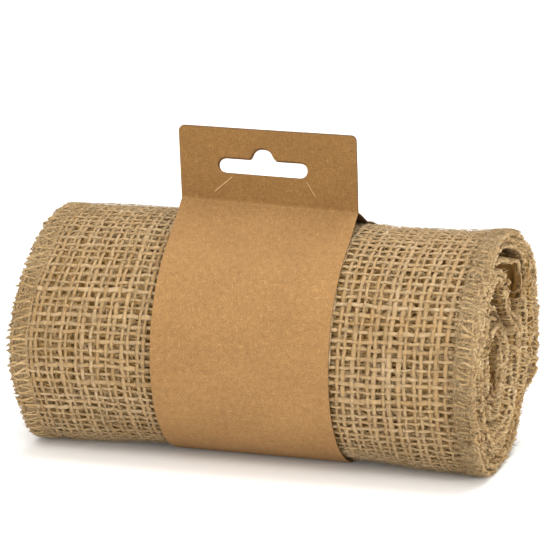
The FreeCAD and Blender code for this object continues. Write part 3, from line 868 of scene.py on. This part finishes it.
# ------------------------------------------------------------------ deeper turns: one relief sheet
def inner_sheet(s0, s1):
    s = np.arange(s0, s1, P_WEFT / 2.0)
    mid = np.linspace(-44, 44, 13)
    out = np.arange(46.0, 75.41, 1.26)
    x = np.concatenate([-out[::-1], mid, out])
    S, X = np.meshgrid(s, x, indexing="ij")
    ku, kx = S / P_WEFT, X / 2.52
    wave = np.cos(np.pi * ku) * np.cos(np.pi * kx) * np.where(np.abs(X) > 45, 1, 0)
    hem = step01((np.abs(X) - 68.5) / 1.5)
    half = 0.36 + 0.16 * hem
    loose = 0.22 * np.sin(S / 13.0 + X / 19.0) * np.sin(S / 29.0 + 1.0)
    top = place(S, X, half + 0.22 * wave + loose * 0.6)
    bot = place(S, X, -half + 0.22 * wave + loose * 0.6)
    ns, nx = S.shape
    V = to_row(np.concatenate([top.reshape(-1, 3), bot.reshape(-1, 3)]))
    i = np.arange(ns - 1)[:, None] * nx + np.arange(nx - 1)[None, :]
    q1 = np.stack([i, i + nx, i + nx + 1, i + 1], -1).reshape(-1, 4)
    o = ns * nx
    q2 = np.stack([i + o, i + o + 1, i + o + nx + 1, i + o + nx], -1).reshape(-1, 4)
    a = np.arange(ns - 1) * nx
    e1 = np.stack([a, a + o, a + nx + o, a + nx], -1)
    a2 = a + nx - 1
    e2 = np.stack([a2, a2 + nx, a2 + nx + o, a2 + o], -1)
    c = np.arange(nx - 1)
    e3 = np.stack([c, c + 1, c + 1 + o, c + o], -1)
    c2 = c + (ns - 1) * nx
    e4 = np.stack([c2, c2 + o, c2 + 1 + o, c2 + 1], -1)
    quads = np.concatenate([q1, q2, e1, e2, e3, e4])
    ob = make_mesh("inner_turns", V, quads.ravel(), np.arange(len(quads)) * 4, np.full(len(quads), 4))
    uvp = np.concatenate([np.stack([ku, kx], -1).reshape(-1, 2)] * 2)
    add_uv(ob.data, "cloth", uvp[quads.ravel()])
    rest = np.concatenate([top.reshape(-1, 3), bot.reshape(-1, 3)])
    # painted shade: darker colour deep in the right end's openings and, at 0.45, along the hems between the stitches
    shade = np.maximum(1.0 * painted_shade_at(rest[:, 0], rest[:, 1], rest[:, 2]), 0.45 * np.concatenate([hem.ravel()] * 2))
    att = ob.data.attributes.new("painted_shade", "FLOAT", "POINT")
    att.data.foreach_set("value", shade.astype(np.float32))
    att = ob.data.attributes.new("hem", "FLOAT", "POINT")
    att.data.foreach_set("value", np.concatenate([0.85 * hem.ravel()] * 2).astype(np.float32))
    # bake layout: the two faces of the strip, folded into rows
    per = int(math.ceil((ns - 1) / 10))
    ii = np.arange(ns - 1)[:, None] + np.zeros(nx - 1, int)[None, :]
    jj = np.zeros(ns - 1, int)[:, None] + np.arange(nx - 1)[None, :]
    row, col = ii // per, ii % per

    def cell(flip, corners):
        out = []
        for di, dj in corners:
            u = 0.004 + 0.992 * (col + di) / per
            v = (row + 10 * flip + 0.03 + 0.94 * (jj + dj) / (nx - 1)) / 20.5
            out.append(np.stack([u, v], -1))
        return np.stack(out, 2).reshape(-1, 2)

    top_uv = cell(0, ((0, 0), (1, 0), (1, 1), (0, 1)))
    bot_uv = cell(1, ((0, 0), (0, 1), (1, 1), (1, 0)))
    n_side = len(e1) + len(e2) + len(e3) + len(e4)
    k = np.arange(n_side)[:, None]
    strip = np.stack([(k + np.array([[0, 0, 1, 1]])) / n_side, 0.978 + 0.018 * np.array([[0, 1, 1, 0]]) + 0 * k], -1)
    add_uv(ob.data, "OFBake", np.concatenate([top_uv, bot_uv, strip.reshape(-1, 2)]))
    ob.data.materials.append(INNER)
    return ob


inner = inner_sheet(S_TWO - 22.0, LENGTH)
keep(inner, parts=None)
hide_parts("burlap_ribbon")


# ------------------------------------------------------------------ overlock stitching
def stitches(name, side, s0, s1, pitch, sides_n, seed, fine=True):
    """Thread over one long edge: down through the cloth, across the face, round the edge and back underneath."""
    r = np.random.RandomState(seed)
    s = np.arange(s0, s1, pitch)
    N = len(s)
    # d from the outer edge, h, and how far along this stitch the thread is
    if fine:
        shape = [(5.9, -0.25, 0.0), (5.75, 0.42, 0.0), (5.2, 0.76, 0.05), (4.1, 0.84, 0.22), (2.9, 0.86, 0.42), (1.8, 0.84, 0.62),
                 (0.9, 0.74, 0.80), (0.25, 0.45, 0.93), (0.0, 0.0, 1.0), (0.25, -0.42, 0.98), (0.9, -0.68, 0.88),
                 (2.2, -0.78, 0.72), (4.0, -0.78, 0.58), (5.3, -0.66, 0.50), (5.8, -0.35, 0.48), (5.9, 0.15, 0.48)]
    else:
        shape = [(5.9, -0.2, 0.0), (5.5, 0.58, 0.03), (3.6, 0.66, 0.30), (1.6, 0.64, 0.66), (0.35, 0.42, 0.92),
                 (0.05, 0.0, 1.0), (0.35, -0.38, 0.96), (1.8, -0.60, 0.78), (4.4, -0.60, 0.55), (5.8, -0.3, 0.48)]
    sh = np.array(shape)
    n = len(sh)
    drift = rows_of_waves(r, 1, s, (4.3, 9.0, 23.0), (0.30, 0.38, 0.30))[0][:, None]   # the tension wanders along the edge
    lean = (1.25 if side > 0 else 1.7) + 0.50 * r.randn(N, 1) + drift
    if side < 0:                                   # the left edge's threads fan out in pairs from each tip
        lean = lean + np.where((np.arange(N) % 2)[:, None] == 0, 0.35, -1.9)
    back = pitch - lean * 0.52
    f = sh[None, :, 2]
    on_top = np.arange(n)[None, :] <= int(np.argmax(sh[:, 2]))
    S = s[:, None] + np.where(on_top, lean * f, lean * 1.0 + (pitch - lean) * (1 - f) / 0.52 * 1.0)
    if side < 0:
        # the left edge shows small points of thread, the right edge is nearly even
        tip = 0.05 + 0.30 * r.rand(N, 1)
        far = (np.arange(N) % 2 == 0)[:, None] * (0.25 + 0.95 * r.rand(N, 1))
    else:
        tip = 0.22 * r.rand(N, 1) - 0.05
        far = (r.rand(N, 1) < 0.12) * 0.5 * r.rand(N, 1)
    if not fine and side > 0:
        far = (r.rand(N, 1) < 0.45) * (0.2 + 0.6 * r.rand(N, 1))
    far = far * (1.0 if fine or side > 0 else 0.3)
    tip = tip * (1.0 if fine else 0.5)
    tipw = np.exp(-((sh[:, 0]) / 0.45) ** 2)[None, :]
    d = sh[None, :, 0] - (tip + far) * tipw + 0.12 * r.randn(N, 1)
    h = sh[None, :, 1] * (1 + 0.06 * r.randn(N, 1)) + 0.14 * r.randn(N, 1) * tipw
    h = np.clip(h, -0.92, 0.86)
    S = S + (0.17 if side < 0 else 0.22) * r.randn(N, n) * (0.8 + tipw) + 0.30 * r.randn(N, 1)
    if side > 0 and fine:
        h = h - 0.10 * (h > 0.5)
    d = d * (1.0 - 0.16 * r.rand(N, 1) * step01((sh[None, :, 0] - 1.5) / 2.5)) + 0.30 * r.randn(N, 1) * (sh[None, :, 0] > 5.0)
    X = side * (76.2 - d)
    fh = field_h(S, X)
    inner_turn = step01((S - S_TWO + 4) / 6.0)
    P = place(S, X, h + fh * (1 - inner_turn))
    fat = np.exp(0.16 * r.randn(N, 1) + 0.10 * r.randn(N, n))
    a = (0.34 if side < 0 else (0.35 if fine else 0.42)) * fat
    b = (0.26 if fine or side < 0 else 0.34) * np.sqrt(fat)
    a = a * (1 - 0.30 * tipw)
    tone = 0.5 + (0.15 if side < 0 else 0.09) * r.randn(N, 1) + 0 * d
    if not fine:
        # the deeper stitches are a little lighter overall, and painted darker deep in the right end's openings: painted
        # shade
        tone = tone + 0.20 - 0.80 * painted_shade_at(P[..., 0], P[..., 1], P[..., 2])
    tone = np.clip(tone, 0.02, 0.98)
    ob = tubes(name, P, along(S), a, b, sides_n, tone, THREAD)
    return ob


def chain(name, side, d0, h0, s0, s1, ds, seed, wave, a0=0.30, b0=0.26, roll=0.10, knots=0.0):
    """A thread that runs along the edge, where the loops lock together. knots makes it lumpy, one lump to a loop."""
    r = np.random.RandomState(seed)
    s = np.arange(s0, s1, ds)
    S = s[None, :]
    k = (s - s0) / 1.42
    n_k = int(k[-1]) + 3
    pick = lambda size: np.interp(k, np.arange(n_k) + 0.5, size * r.randn(n_k))[None, :]
    d = d0 + wave * np.sin(2 * np.pi * S / 1.45) + rows_of_waves(r, 1, s, (5.0, 13.0), (0.08, 0.12)) + pick(0.55 * knots)
    h = h0 + roll * np.cos(2 * np.pi * S / 1.45) + rows_of_waves(r, 1, s, (3.3, 9.0), (0.04, 0.05)) + pick(0.35 * knots)
    X = side * (76.2 - d)
    P = place(S, X, h + field_h(S, X) * (S < S_TWO))
    fat = np.exp(rows_of_waves(r, 1, s, (1.5, 2.3, 5.0, 17.0), (0.13, 0.10, 0.10, 0.10)))
    lump = np.exp(0.5 * pick(knots)) * (1 - knots * 0.55 * np.cos(np.pi * k)[None, :] ** 2)
    fat = np.clip(fat * lump, 0.35, 1.5)
    tone = 0.5 + rows_of_waves(r, 1, s, (11.0, 37.0), (0.1, 0.1)) + pick(0.25 * knots)
    if s0 >= S_TWO - 1:
        # lighter overall, and painted darker deep in the right end's openings: painted shade
        tone = tone + 0.20 - 0.80 * painted_shade_at(P[..., 0], P[..., 1], P[..., 2])
    return tubes(name, P, np.array([1.0, 0, 0]), a0 * fat, b0 * fat, 5, np.clip(tone, 0.02, 0.98), THREAD)


STITCH = 1.42
for side, tag, seed in ((-1, "left", 41), (1, "right", 61)):
    node_name = "%s_edge_overlock" % tag
    first = stitches("%s_stitches_outer" % tag, side, -0.6, S_TWO, STITCH, 6, seed)
    keep(first)
    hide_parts(node_name)
    deep = stitches("%s_stitches_inner" % tag, side, S_TWO, LENGTH - 1.0, STITCH, 5, seed + 1, fine=False)
    keep(deep)
    keep(chain("%s_chain_face" % tag, side, 5.5, 0.42, -1.0, S_OUT + 6, 0.36, seed + 2, 0.22, 0.26, 0.22))
    keep(chain("%s_chain_ridge" % tag, side, 1.1, 0.60, -1.0, S_OUT + 6, 0.36, seed + 3, 0.26))
    # the loops lock into a knotty cord along the very edge
    keep(chain("%s_edge_cord_outer" % tag, side, 0.20, 0.02, -1.0, S_TWO, 0.34, seed + 4, 0.20, 0.42, 0.36, 0.26, 0.75))
    keep(chain("%s_edge_cord_inner" % tag, side, 0.20, 0.02, S_TWO, LENGTH - 1.0, 0.34, seed + 5, 0.30, 0.60, 0.50, 0.34, 0.65))


# ------------------------------------------------------------------ loose fibres
def fibres(name, S, X, H, seed, reach, rise, length, sides_n=3, thin=0.034, cap=None, material=None, spread=0.2):
    """Short hairs. reach is how they lean along s and x, rise how far they stand off."""
    r = np.random.RandomState(seed)
    N, n = len(S), 5
    t = np.linspace(0, 1, n)[None, :]
    L = length * np.exp(0.4 * r.randn(N, 1))
    L = np.clip(L, 0.5, 2.4 * length)
    ang = r.uniform(0, 2 * np.pi, (N, 1)) if reach is None else reach[:, None] + 0.7 * r.randn(N, 1)
    curl = r.randn(N, 1) * 0.9
    s = S[:, None] + L * t * np.sin(ang + curl * t)
    x = X[:, None] + L * t * np.cos(ang + curl * t)
    up = rise[:, None] * (0.3 + 0.7 * r.rand(N, 1))
    h = H[:, None] + up * np.sin(np.pi * 0.72 * t) * np.minimum(1.0, L / 2.0)
    h = np.minimum(h, 1.12 if cap is None else cap)
    P = place(s, x, h)
    tr = thin * np.exp(0.25 * r.randn(N, 1)) * (1 - 0.75 * t ** 2)
    tone = np.clip(0.55 + spread * r.randn(N, 1), 0.02, 0.98)
    clear = (S < S_OUT) | (painted_shade_at(P[:, 2, 0], P[:, 2, 1], P[:, 2, 2]) < 0.45)
    clear &= ~((P[..., 2].min(1) < -35.5) & (np.abs(P[..., 0]).max(1) > 77.5))
    P, s, tr, tone = P[clear], s[clear], tr[clear], tone[clear]
    return tubes(name, P, along(s) + 0.3 * np.array([1.0, 0, 0]), tr, tr, sides_n, tone, material or FIBRE)


r = np.random.RandomState(77)
for tag, lo, hi in (("left", -75.0, -31.0), ("right", 32.0, 75.0)):
    # hairs that stand off the yarns
    nf = 7400
    fs_, fx_ = r.uniform(0, S_OUT - 4, nf), r.uniform(lo, hi, nf)
    keep(fibres("surface_hairs_" + tag, fs_, fx_, np.full(nf, 0.34), 78, None, np.full(nf, 0.75), 2.4, thin=0.050))
    # loose strands that lie across the holes, on the outer turn and just under it
    nf = 2900
    fs_, fx_ = r.uniform(0, S_OUT - 4, nf), r.uniform(lo, hi, nf)
    keep(fibres("stray_strands_" + tag, fs_, fx_, r.uniform(-0.55, 0.22, nf), 79, None, np.full(nf, 0.12), 3.6, thin=0.075))
# fewer under the band, where the card lies on them
nf = 5200
fs_, fx_ = r.uniform(0, S_OUT - 4, nf), r.uniform(-31.0, 32.0, nf)
keep(fibres("surface_hairs_middle", fs_, fx_, np.full(nf, 0.30), 82, None, np.full(nf, 0.4), 2.4, thin=0.050, cap=0.62))
fs_, fx_ = r.uniform(0, S_OUT - 4, nf // 2), r.uniform(-31.0, 32.0, nf // 2)
keep(fibres("stray_strands_middle", fs_, fx_, r.uniform(-0.55, 0.22, nf // 2), 83, None, np.full(nf // 2, 0.12), 3.6, thin=0.075, cap=0.62))
for side, tag in ((-1, "left"), (1, "right")):
    # frizz on the hem of the outer turn, then on the edges of all the turns beneath
    nf = 4400 if side < 0 else 7000
    fs_ = r.uniform(0, S_OUT, nf)
    fx_ = side * (76.2 - r.uniform(-0.1, 5.8, nf))
    ang = np.where(r.rand(nf) < 0.75, r.uniform(-3.1, 3.1, nf), 0.0 if side > 0 else np.pi)
    keep(fibres("%s_edge_hairs" % tag, fs_, fx_, r.uniform(0.35, 0.92, nf), 80 + side, ang, np.full(nf, 0.45), 1.0,
                thin=0.078))
    nf = 5000
    fs_ = r.uniform(S_OUT, LENGTH, nf)
    ang = np.where(r.rand(nf) < 0.5, r.uniform(-3.1, 3.1, nf), np.where(r.rand(nf) < 0.5, 0.5, -0.5) * np.pi + 0.15 * r.randn(nf))
    keep(fibres("%s_inner_edge_hairs" % tag, fs_, np.full(nf, side * 75.7), r.uniform(-0.7, 0.7, nf), 90 + side, ang,
                np.full(nf, 0.45), 1.0, thin=0.085))

# the right end is the rubbed one: its hems are matted with short curled ends of mixed colour
nf = 7600
fs_ = np.concatenate([r.uniform(0, S_OUT, 2600), r.uniform(S_OUT, LENGTH, nf - 2600)])
fx_ = 76.2 - np.concatenate([r.uniform(-0.3, 7.2, 2600), r.uniform(-0.5, 4.0, nf - 2600)])
fh_ = np.concatenate([r.uniform(0.3, 0.95, 2600), r.uniform(-0.8, 0.8, nf - 2600)])
keep(fibres("right_edge_fluff", fs_, fx_, fh_, 97, None, np.full(nf, 0.55), 1.35, thin=0.135, material=THREAD, spread=0.50))

# ------------------------------------------------------------------ card: one strip, front ply, band and back ply
CARD_T, BAND_W, BAND_X, BAND_RI, BAND_FLAT, BLEND_R = 0.45, 59.0, 0.5, 38.80, 37.23, 12.0
CREASE, TAB_H, LEAN, GLUE_T = (-5.7, 44.5), 25.0, math.radians(96.5), 0.10
TAB_UP = np.array([math.cos(LEAN), math.sin(LEAN)])
TAB_FORE = np.array([-math.sin(LEAN), math.cos(LEAN)])
CR = np.array(CREASE)


def card_path():
    """Middle line of the card in the roll's section, from the top of the front ply round to the top of the back ply."""
    R = BAND_RI + CARD_T / 2
    flat = BAND_FLAT + CARD_T / 2
    bl = BLEND_R + CARD_T / 2
    d = math.hypot(*CREASE)
    mid = math.atan2(CREASE[1], CREASE[0])
    half = math.acos((BAND_RI + CARD_T) / d)
    tf, tb = mid + half, mid - half
    w = GLUE_T / 2 + CARD_T / 2
    cy = math.sqrt((R - bl) ** 2 - (flat - bl) ** 2)
    a0 = math.atan2(-(flat - bl), cy)
    pts = []

    def corner(w_off, th, sign):
        """Where the ply's line meets the panel's line, rounded."""
        o = CR + w_off * TAB_FORE
        p = R * np.array([math.cos(th), math.sin(th)])
        q = np.array([-math.sin(th), math.cos(th)]) * sign        # from the tangent point up to the crease
        m = np.array([[TAB_UP[0], -q[0]], [TAB_UP[1], -q[1]]])
        v, lam = np.linalg.solve(m, p - o)
        return o + v * TAB_UP, q, p

    def fillet(c, din, dout, r):
        """Arc that turns from direction din to dout at corner c."""
        turn = math.acos(max(-1, min(1, float(np.dot(din, dout)))))
        back = r * math.tan(turn / 2)
        a, b = c - din * back, c + dout * back
        nrm = np.array([-din[1], din[0]])
        if np.dot(nrm, dout) < 0:
            nrm = -nrm
        o = a + nrm * r
        out = []
        for i in range(9):
            f = i / 8
            ang = turn * f
            v = (a - o)
            sgn = 1 if (din[0] * dout[1] - din[1] * dout[0]) > 0 else -1
            ca, sa = math.cos(sgn * ang), math.sin(sgn * ang)
            out.append(o + np.array([v[0] * ca - v[1] * sa, v[0] * sa + v[1] * ca]))
        return out

    cf, qf, pf = corner(w, tf, -1)
    cb, qb, pb = corner(-w, tb, 1)
    top_f = CR + w * TAB_FORE + TAB_H * TAB_UP
    top_b = CR - w * TAB_FORE + TAB_H * TAB_UP

    def line(a, b, step):
        k = max(1, int(math.ceil(np.linalg.norm(b - a) / step)))
        return [a + (b - a) * i / k for i in range(k + 1)]

    ff = fillet(cf, -TAB_UP, -qf, 0.55)
    pts += line(top_f, ff[0], 1.0) + ff[1:]
    pts += line(ff[-1], pf, 1.5)[1:]
    n = 70
    pts += [R * np.array([math.cos(a), math.sin(a)]) for a in np.linspace(tf, math.pi - a0, n)][1:]
    cl, crr = np.array([-cy, -(flat - bl)]), np.array([cy, -(flat - bl)])
    pts += [cl + bl * np.array([math.cos(a), math.sin(a)]) for a in np.linspace(math.pi - a0, 1.5 * math.pi, 9)][1:]
    pts += line(cl + np.array([0, -bl]), crr + np.array([0, -bl]), 1.5)[1:]
    pts += [crr + bl * np.array([math.cos(a), math.sin(a)]) for a in np.linspace(-0.5 * math.pi, a0, 9)][1:]
    pts += [R * np.array([math.cos(a), math.sin(a)]) for a in np.linspace(a0, tb, 60)][1:]
    fb = fillet(cb, qb, TAB_UP, 0.55)
    pts += line(pb, fb[0], 1.5)[1:]
    pts += fb[1:]
    pts += line(fb[-1], top_b, 1.0)[1:]
    return np.array(pts)


CP = card_path()
CL = np.concatenate([[0], np.cumsum(np.linalg.norm(np.diff(CP, axis=0), axis=1))])
CARD_LEN = float(CL[-1])
ct = np.gradient(CP, axis=0)
ct /= np.linalg.norm(ct, axis=1, keepdims=True)


def slot_points():
    """Euro slot in the tab's plane: x across, v up from the crease."""
    L, Hh, base, x0, bh = 30.0, 5.6, 9.3, -1.75, 3.8
    r, zc, e = Hh / 2, base + Hh / 2, L / 2 - Hh / 2
    top = zc + r
    pts = [(-e, zc - r), (e, zc - r)]
    pts += [(e + r * math.cos(a), zc + r * math.sin(a)) for a in np.linspace(-math.pi / 2, math.pi / 2, 13)[1:-1]]
    # the centre notch: rounded into the slot's upper side, with a round head
    half = [(4.75, 0.0), (4.3, 0.10), (3.95, 0.36), (3.68, 0.85), (3.42, 1.42), (3.08, 2.05), (2.66, 2.66),
            (2.10, 3.18), (1.42, 3.57), (0.70, 3.76)]
    pts += [(e, top)] + [(x, top + z) for x, z in half] + [(0.0, top + bh)]
    pts += [(-x, top + z) for x, z in half[::-1]] + [(-e, top)]
    pts += [(-e + r * math.cos(a), zc + r * math.sin(a)) for a in np.linspace(math.pi / 2, 1.5 * math.pi, 13)[1:-1]]
    return [(x + x0, v) for x, v in pts]


def inside(poly, px, py):
    poly = np.asarray(poly)
    x1, y1 = poly[:, 0][:, None], poly[:, 1][:, None]
    x2, y2 = np.roll(poly[:, 0], -1)[:, None], np.roll(poly[:, 1], -1)[:, None]
    c = ((y1 > py) != (y2 > py)) & (px < (x2 - x1) * (py - y1) / (y2 - y1 + 1e-12) + x1)
    return c.sum(0) % 2 == 1


def gap_to(poly, px, py):
    poly = np.asarray(poly, float)
    best = np.full(len(px), 1e9)
    for i in range(len(poly)):
        a, b = poly[i], poly[(i + 1) % len(poly)]
        d = b - a
        t = np.clip(((px - a[0]) * d[0] + (py - a[1]) * d[1]) / (d @ d + 1e-12), 0, 1)
        best = np.minimum(best, np.hypot(px - a[0] - t * d[0], py - a[1] - t * d[1]))
    return best


def dense(poly, step):
    out = []
    for i in range(len(poly)):
        a, b = np.array(poly[i]), np.array(poly[(i + 1) % len(poly)])
        k = max(1, int(math.ceil(np.linalg.norm(b - a) / step)))
        out += [tuple(a + (b - a) * j / k) for j in range(k)]
    return out


def flat_mesh(outline, holes, px, py):
    """Triangles of a flat shape with holes, through given inner points."""
    loops = [outline] + holes
    verts, edges = [], []
    for lp in loops:
        o = len(verts)
        verts += [Vector(p) for p in lp]
        edges += [(o + i, o + (i + 1) % len(lp)) for i in range(len(lp))]
    keep_ = inside(outline, px, py) & (gap_to(outline, px, py) > 0.35)
    for h in holes:
        keep_ &= ~inside(h, px, py) & (gap_to(h, px, py) > 0.35)
    verts += [Vector((float(a), float(b))) for a, b in zip(px[keep_], py[keep_])]
    vo, eo, fo, _, _, _ = geometry.delaunay_2d_cdt(verts, edges, [], 0, 1e-6)
    v = np.array([(p.x, p.y) for p in vo])
    f = np.array([t for t in fo if len(t) == 3])
    c = v[f].mean(1)
    ok = inside(outline, c[:, 0], c[:, 1])
    for h in holes:
        ok &= ~inside(h, c[:, 0], c[:, 1])
    f = f[ok]
    ar = np.cross(v[f[:, 1]] - v[f[:, 0]], v[f[:, 2]] - v[f[:, 0]])
    f[ar < 0] = f[ar < 0][:, ::-1]
    return v, f


def thick_mesh(name, v, f, lift, materials, uv_scale=1.0):
    """Two faces and the cut edges between them. lift(v, side) gives 3-D points in mm."""
    n = len(v)
    V = to_row(np.concatenate([lift(v, 1), lift(v, -1)]))
    top = f
    bot = f[:, ::-1] + n
    e = np.concatenate([f[:, [0, 1]], f[:, [1, 2]], f[:, [2, 0]]])
    key = set(map(tuple, e))
    rim = np.array([p for p in map(tuple, e) if (p[1], p[0]) not in key])
    walls = np.stack([rim[:, 1], rim[:, 0], rim[:, 0] + n, rim[:, 1] + n], -1)
    loops = np.concatenate([top.ravel(), bot.ravel(), walls.ravel()])
    totals = np.concatenate([np.full(2 * len(f), 3), np.full(len(walls), 4)])
    starts = np.concatenate([[0], np.cumsum(totals)[:-1]])
    mi = np.concatenate([np.zeros(2 * len(f)), np.ones(len(walls))]).astype(np.int32)
    ob = make_mesh(name, V, loops, starts, totals, True, mi)
    me = ob.data
    me.polygons.foreach_set("use_smooth", np.concatenate([np.ones(2 * len(f), bool), np.zeros(len(walls), bool)]))
    vv = np.concatenate([v, v + np.array([500.0, 0.0])])
    add_uv(me, "card", vv[loops])
    for m in materials:
        me.materials.append(m)
    # the cut edge is a hard corner
    co = np.sort(np.stack([rim[:, 0], rim[:, 1]], -1), axis=1)
    sharp = set(map(tuple, co)) | set(map(tuple, co + n))
    ev = np.zeros(len(me.edges) * 2, np.int32)
    me.edges.foreach_get("vertices", ev)
    ev = np.sort(ev.reshape(-1, 2), axis=1)
    att = me.attributes.get("sharp_edge") or me.attributes.new("sharp_edge", "BOOLEAN", "EDGE")
    att.data.foreach_set("value", np.array([tuple(p) in sharp for p in ev], bool))
    return ob


def tab_bow(x, v):
    """The tab isn't dead flat: it bows a little and its corners curl."""
    w = step01((v - 2.0) / 10.0)
    return w * (0.35 * np.cos(x / 30.0 * 1.3 + 0.3) - 0.18 + 0.5 * np.clip(np.abs(x) / 30.0 - 0.55, 0, 1) ** 2 * np.clip(v / 25.0, 0, 1))


def nearest_point(py, pz, y, z):
    """The nearest of the points (py, pz) to each (y, z)."""
    ny, nz = np.zeros(len(y)), np.zeros(len(y))
    for i in range(0, len(y), 2000):
        q = slice(i, i + 2000)
        k = np.argmin((y[q, None] - py[None]) ** 2 + (z[q, None] - pz[None]) ** 2, axis=1)
        ny[q], nz[q] = py[k], pz[k]
    return ny, nz


def card_lift(v, side):
    x, l = v[:, 0], v[:, 1]
    y, z = np.interp(l, CL, CP[:, 0]), np.interp(l, CL, CP[:, 1])
    ty, tz = np.interp(l, CL, ct[:, 0]), np.interp(l, CL, ct[:, 1])
    n = np.hypot(ty, tz)
    ty, tz = ty / n, tz / n
    # outward is to the right of the direction of travel
    h = 0.0
    # the back panel sags towards the cloth, more where nothing holds it up
    th = np.degrees(np.arctan2(z, y))
    back = (l > CARD_LEN / 2) & (l < CARD_LEN - TAB_H)
    sag = 0.30 * between(th, 20, 58, 66, 74) + 1.15 * between(th, 60, 74, 78, 96)
    h = h - np.where(back, sag, 0.0)
    # the front panel hollows a little between the crease and the roll
    front = (l < CARD_LEN / 2) & (l > TAB_H)
    h = h - np.where(front, 0.35 * between(th, 98, 108, 112, 124), 0.0)
    y, z = y + h * tz, z - h * ty
    vv = (y - CREASE[0]) * TAB_UP[0] + (z - CREASE[1]) * TAB_UP[1]
    is_tab = (l < TAB_H + 2) | (l > CARD_LEN - TAB_H - 2)
    bow = np.where(is_tab, tab_bow(x, vv), 0)
    y, z = y + bow * TAB_FORE[0], z + bow * TAB_FORE[1]
    # the crease isn't quite square to the band
    up = 1 - step01(np.abs(z - CREASE[1]) / 23.0)
    z = z - 0.58 * (x / 29.5) * up
    # the card lies on the yarns, never in them
    o = (CS < 246.0) & (CS > -1)
    near = nearest_point(CY[o], CZ[o], y, z)
    gap = np.hypot(y - near[0], z - near[1])
    need = 0.76 + CARD_T / 2
    push = np.where(is_tab, 0.0, need * np.log1p(np.exp(np.clip((need - gap) / 0.03, -30, 30))) * 0.03 / need)
    push = push + side * CARD_T / 2
    return np.stack([x + BAND_X, y + push * tz, z - push * ty], -1)


def card_strip():
    h, c = BAND_W / 2, 1.75
    ang = np.linspace(0, math.pi / 2, 6)
    L = CARD_LEN
    o = [(-h, c)] + [(-h + c - c * math.cos(a), c - c * math.sin(a)) for a in ang[1:]]
    o += [(h - c, 0.0)] + [(h - c + c * math.sin(a), c - c * math.cos(a)) for a in ang[1:]]
    o += [(h, L - c)] + [(h - c + c * math.cos(a), L - c + c * math.sin(a)) for a in ang[1:]]
    o += [(-h + c, L)] + [(-h + c - c * math.sin(a), L - c + c * math.cos(a)) for a in ang[1:]]
    # cut the long sides at the same places as the rows of points, so the bends are smooth at the edge
    outline = []
    rows = CL[(CL > c + 0.3) & (CL < L - c - 0.3)]
    for i in range(len(o)):
        a, b = o[i], o[(i + 1) % len(o)]
        outline.append(a)
        if abs(a[0] - b[0]) < 1e-9 and abs(b[1] - a[1]) > 20:
            rr = rows if b[1] > a[1] else rows[::-1]
            outline += [(a[0], float(q)) for q in rr]
        elif abs(a[1] - b[1]) < 1e-9 and abs(b[0] - a[0]) > 20:
            outline += [(float(q), a[1]) for q in np.linspace(a[0], b[0], 25)[1:-1]]
    # the two holes don't quite meet when the strip is closed, so a rim of the back ply shows
    front = [(x - 0.05, TAB_H - v - 0.40) for x, v in dense(slot_points(), 1.2)]
    back = [(x + 0.35, L - TAB_H + v - 0.38) for x, v in dense(slot_points(), 1.2)]
    gx, gl = np.meshgrid(np.linspace(-h, h, 31)[1:-1], CL[1:-1])
    v, f = flat_mesh(outline, [front, back], gx.ravel(), gl.ravel())
    ob = thick_mesh("kraft_card_strip", v, f, card_lift, [KRAFT, KRAFT_EDGE_PAINTED_SHADE])
    me = ob.data
    l = np.concatenate([v[:, 1], v[:, 1]])
    tab = np.maximum(1 - step01((l - TAB_H + 0.3) / 0.5), 1 - step01((L - l - TAB_H + 0.3) / 0.5))
    att = me.attributes.new("tab", "FLOAT", "POINT")
    att.data.foreach_set("value", tab.astype(np.float32))
    # the faces glued together are painted darker and browner, painted shade between the plies, and so is the card
    # inside the fold, painted shade where the light hardly reaches
    c = v[f][:, :, 1].mean(1)
    mi = np.zeros(len(me.polygons), np.int32)
    me.polygons.foreach_get("material_index", mi)
    mi[len(f):2 * len(f)] = (c > L - TAB_H + 2.0) | (c < TAB_H - 2.0)
    me.polygons.foreach_set("material_index", mi)
    n = len(v)
    # painted shade mask: inner faces of the card in the fold, darkest just past the crease
    inside_fold_shade = between(l, TAB_H + 0.3, TAB_H + 1.5, TAB_H + 18, TAB_H + 30) + between(L - l, TAB_H + 0.3, TAB_H + 1.5, TAB_H + 18, TAB_H + 30)
    inside_fold_shade[:n] = 0
    att = me.attributes.new("fold_painted_shade", "FLOAT", "POINT")
    att.data.foreach_set("value", np.clip(inside_fold_shade, 0, 1).astype(np.float32))
    return ob


card = card_strip()
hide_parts("card_band", "tab_front_ply", "tab_back_ply")
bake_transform(card)


def glue_film():
    h = BAND_W / 2 - 2.5
    o = [(-h, 3.25), (h, 3.25), (h, TAB_H - 2.5), (-h, TAB_H - 2.5)]
    o = dense(o, 2.0)
    pts = np.array(slot_points())
    c = pts.mean(0)
    hole = []
    for i in range(len(pts)):
        a, b = pts[i - 1], pts[(i + 1) % len(pts)]
        t = (b - a) / np.linalg.norm(b - a)
        hole.append(tuple(pts[i] + 1.2 * np.array([t[1], -t[0]])))
    gx, gv = np.meshgrid(np.linspace(-h, h, 28)[1:-1], np.linspace(3.3, TAB_H - 2.5, 12)[1:-1])
    v, f = flat_mesh(o, [hole], gx.ravel(), gv.ravel())

    def lift(v, side):
        w = side * 0.046 + tab_bow(v[:, 0], v[:, 1])
        p = CR[None] + v[:, 1:2] * TAB_UP[None] + w[:, None] * TAB_FORE[None]
        up = 1 - step01(np.abs(p[:, 1] - CREASE[1]) / 23.0)
        return np.stack([v[:, 0] + BAND_X, p[:, 0], p[:, 1] - 0.58 * (v[:, 0] / 29.5) * up], -1)

    ob = thick_mesh("glue_film", v, f, lift, [GLUE, GLUE])
    ob.data.polygons.foreach_set("material_index", np.zeros(len(ob.data.polygons), np.int32))
    return ob


glue = glue_film()
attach(glue, "hang_tab")
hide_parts("tab_adhesive")
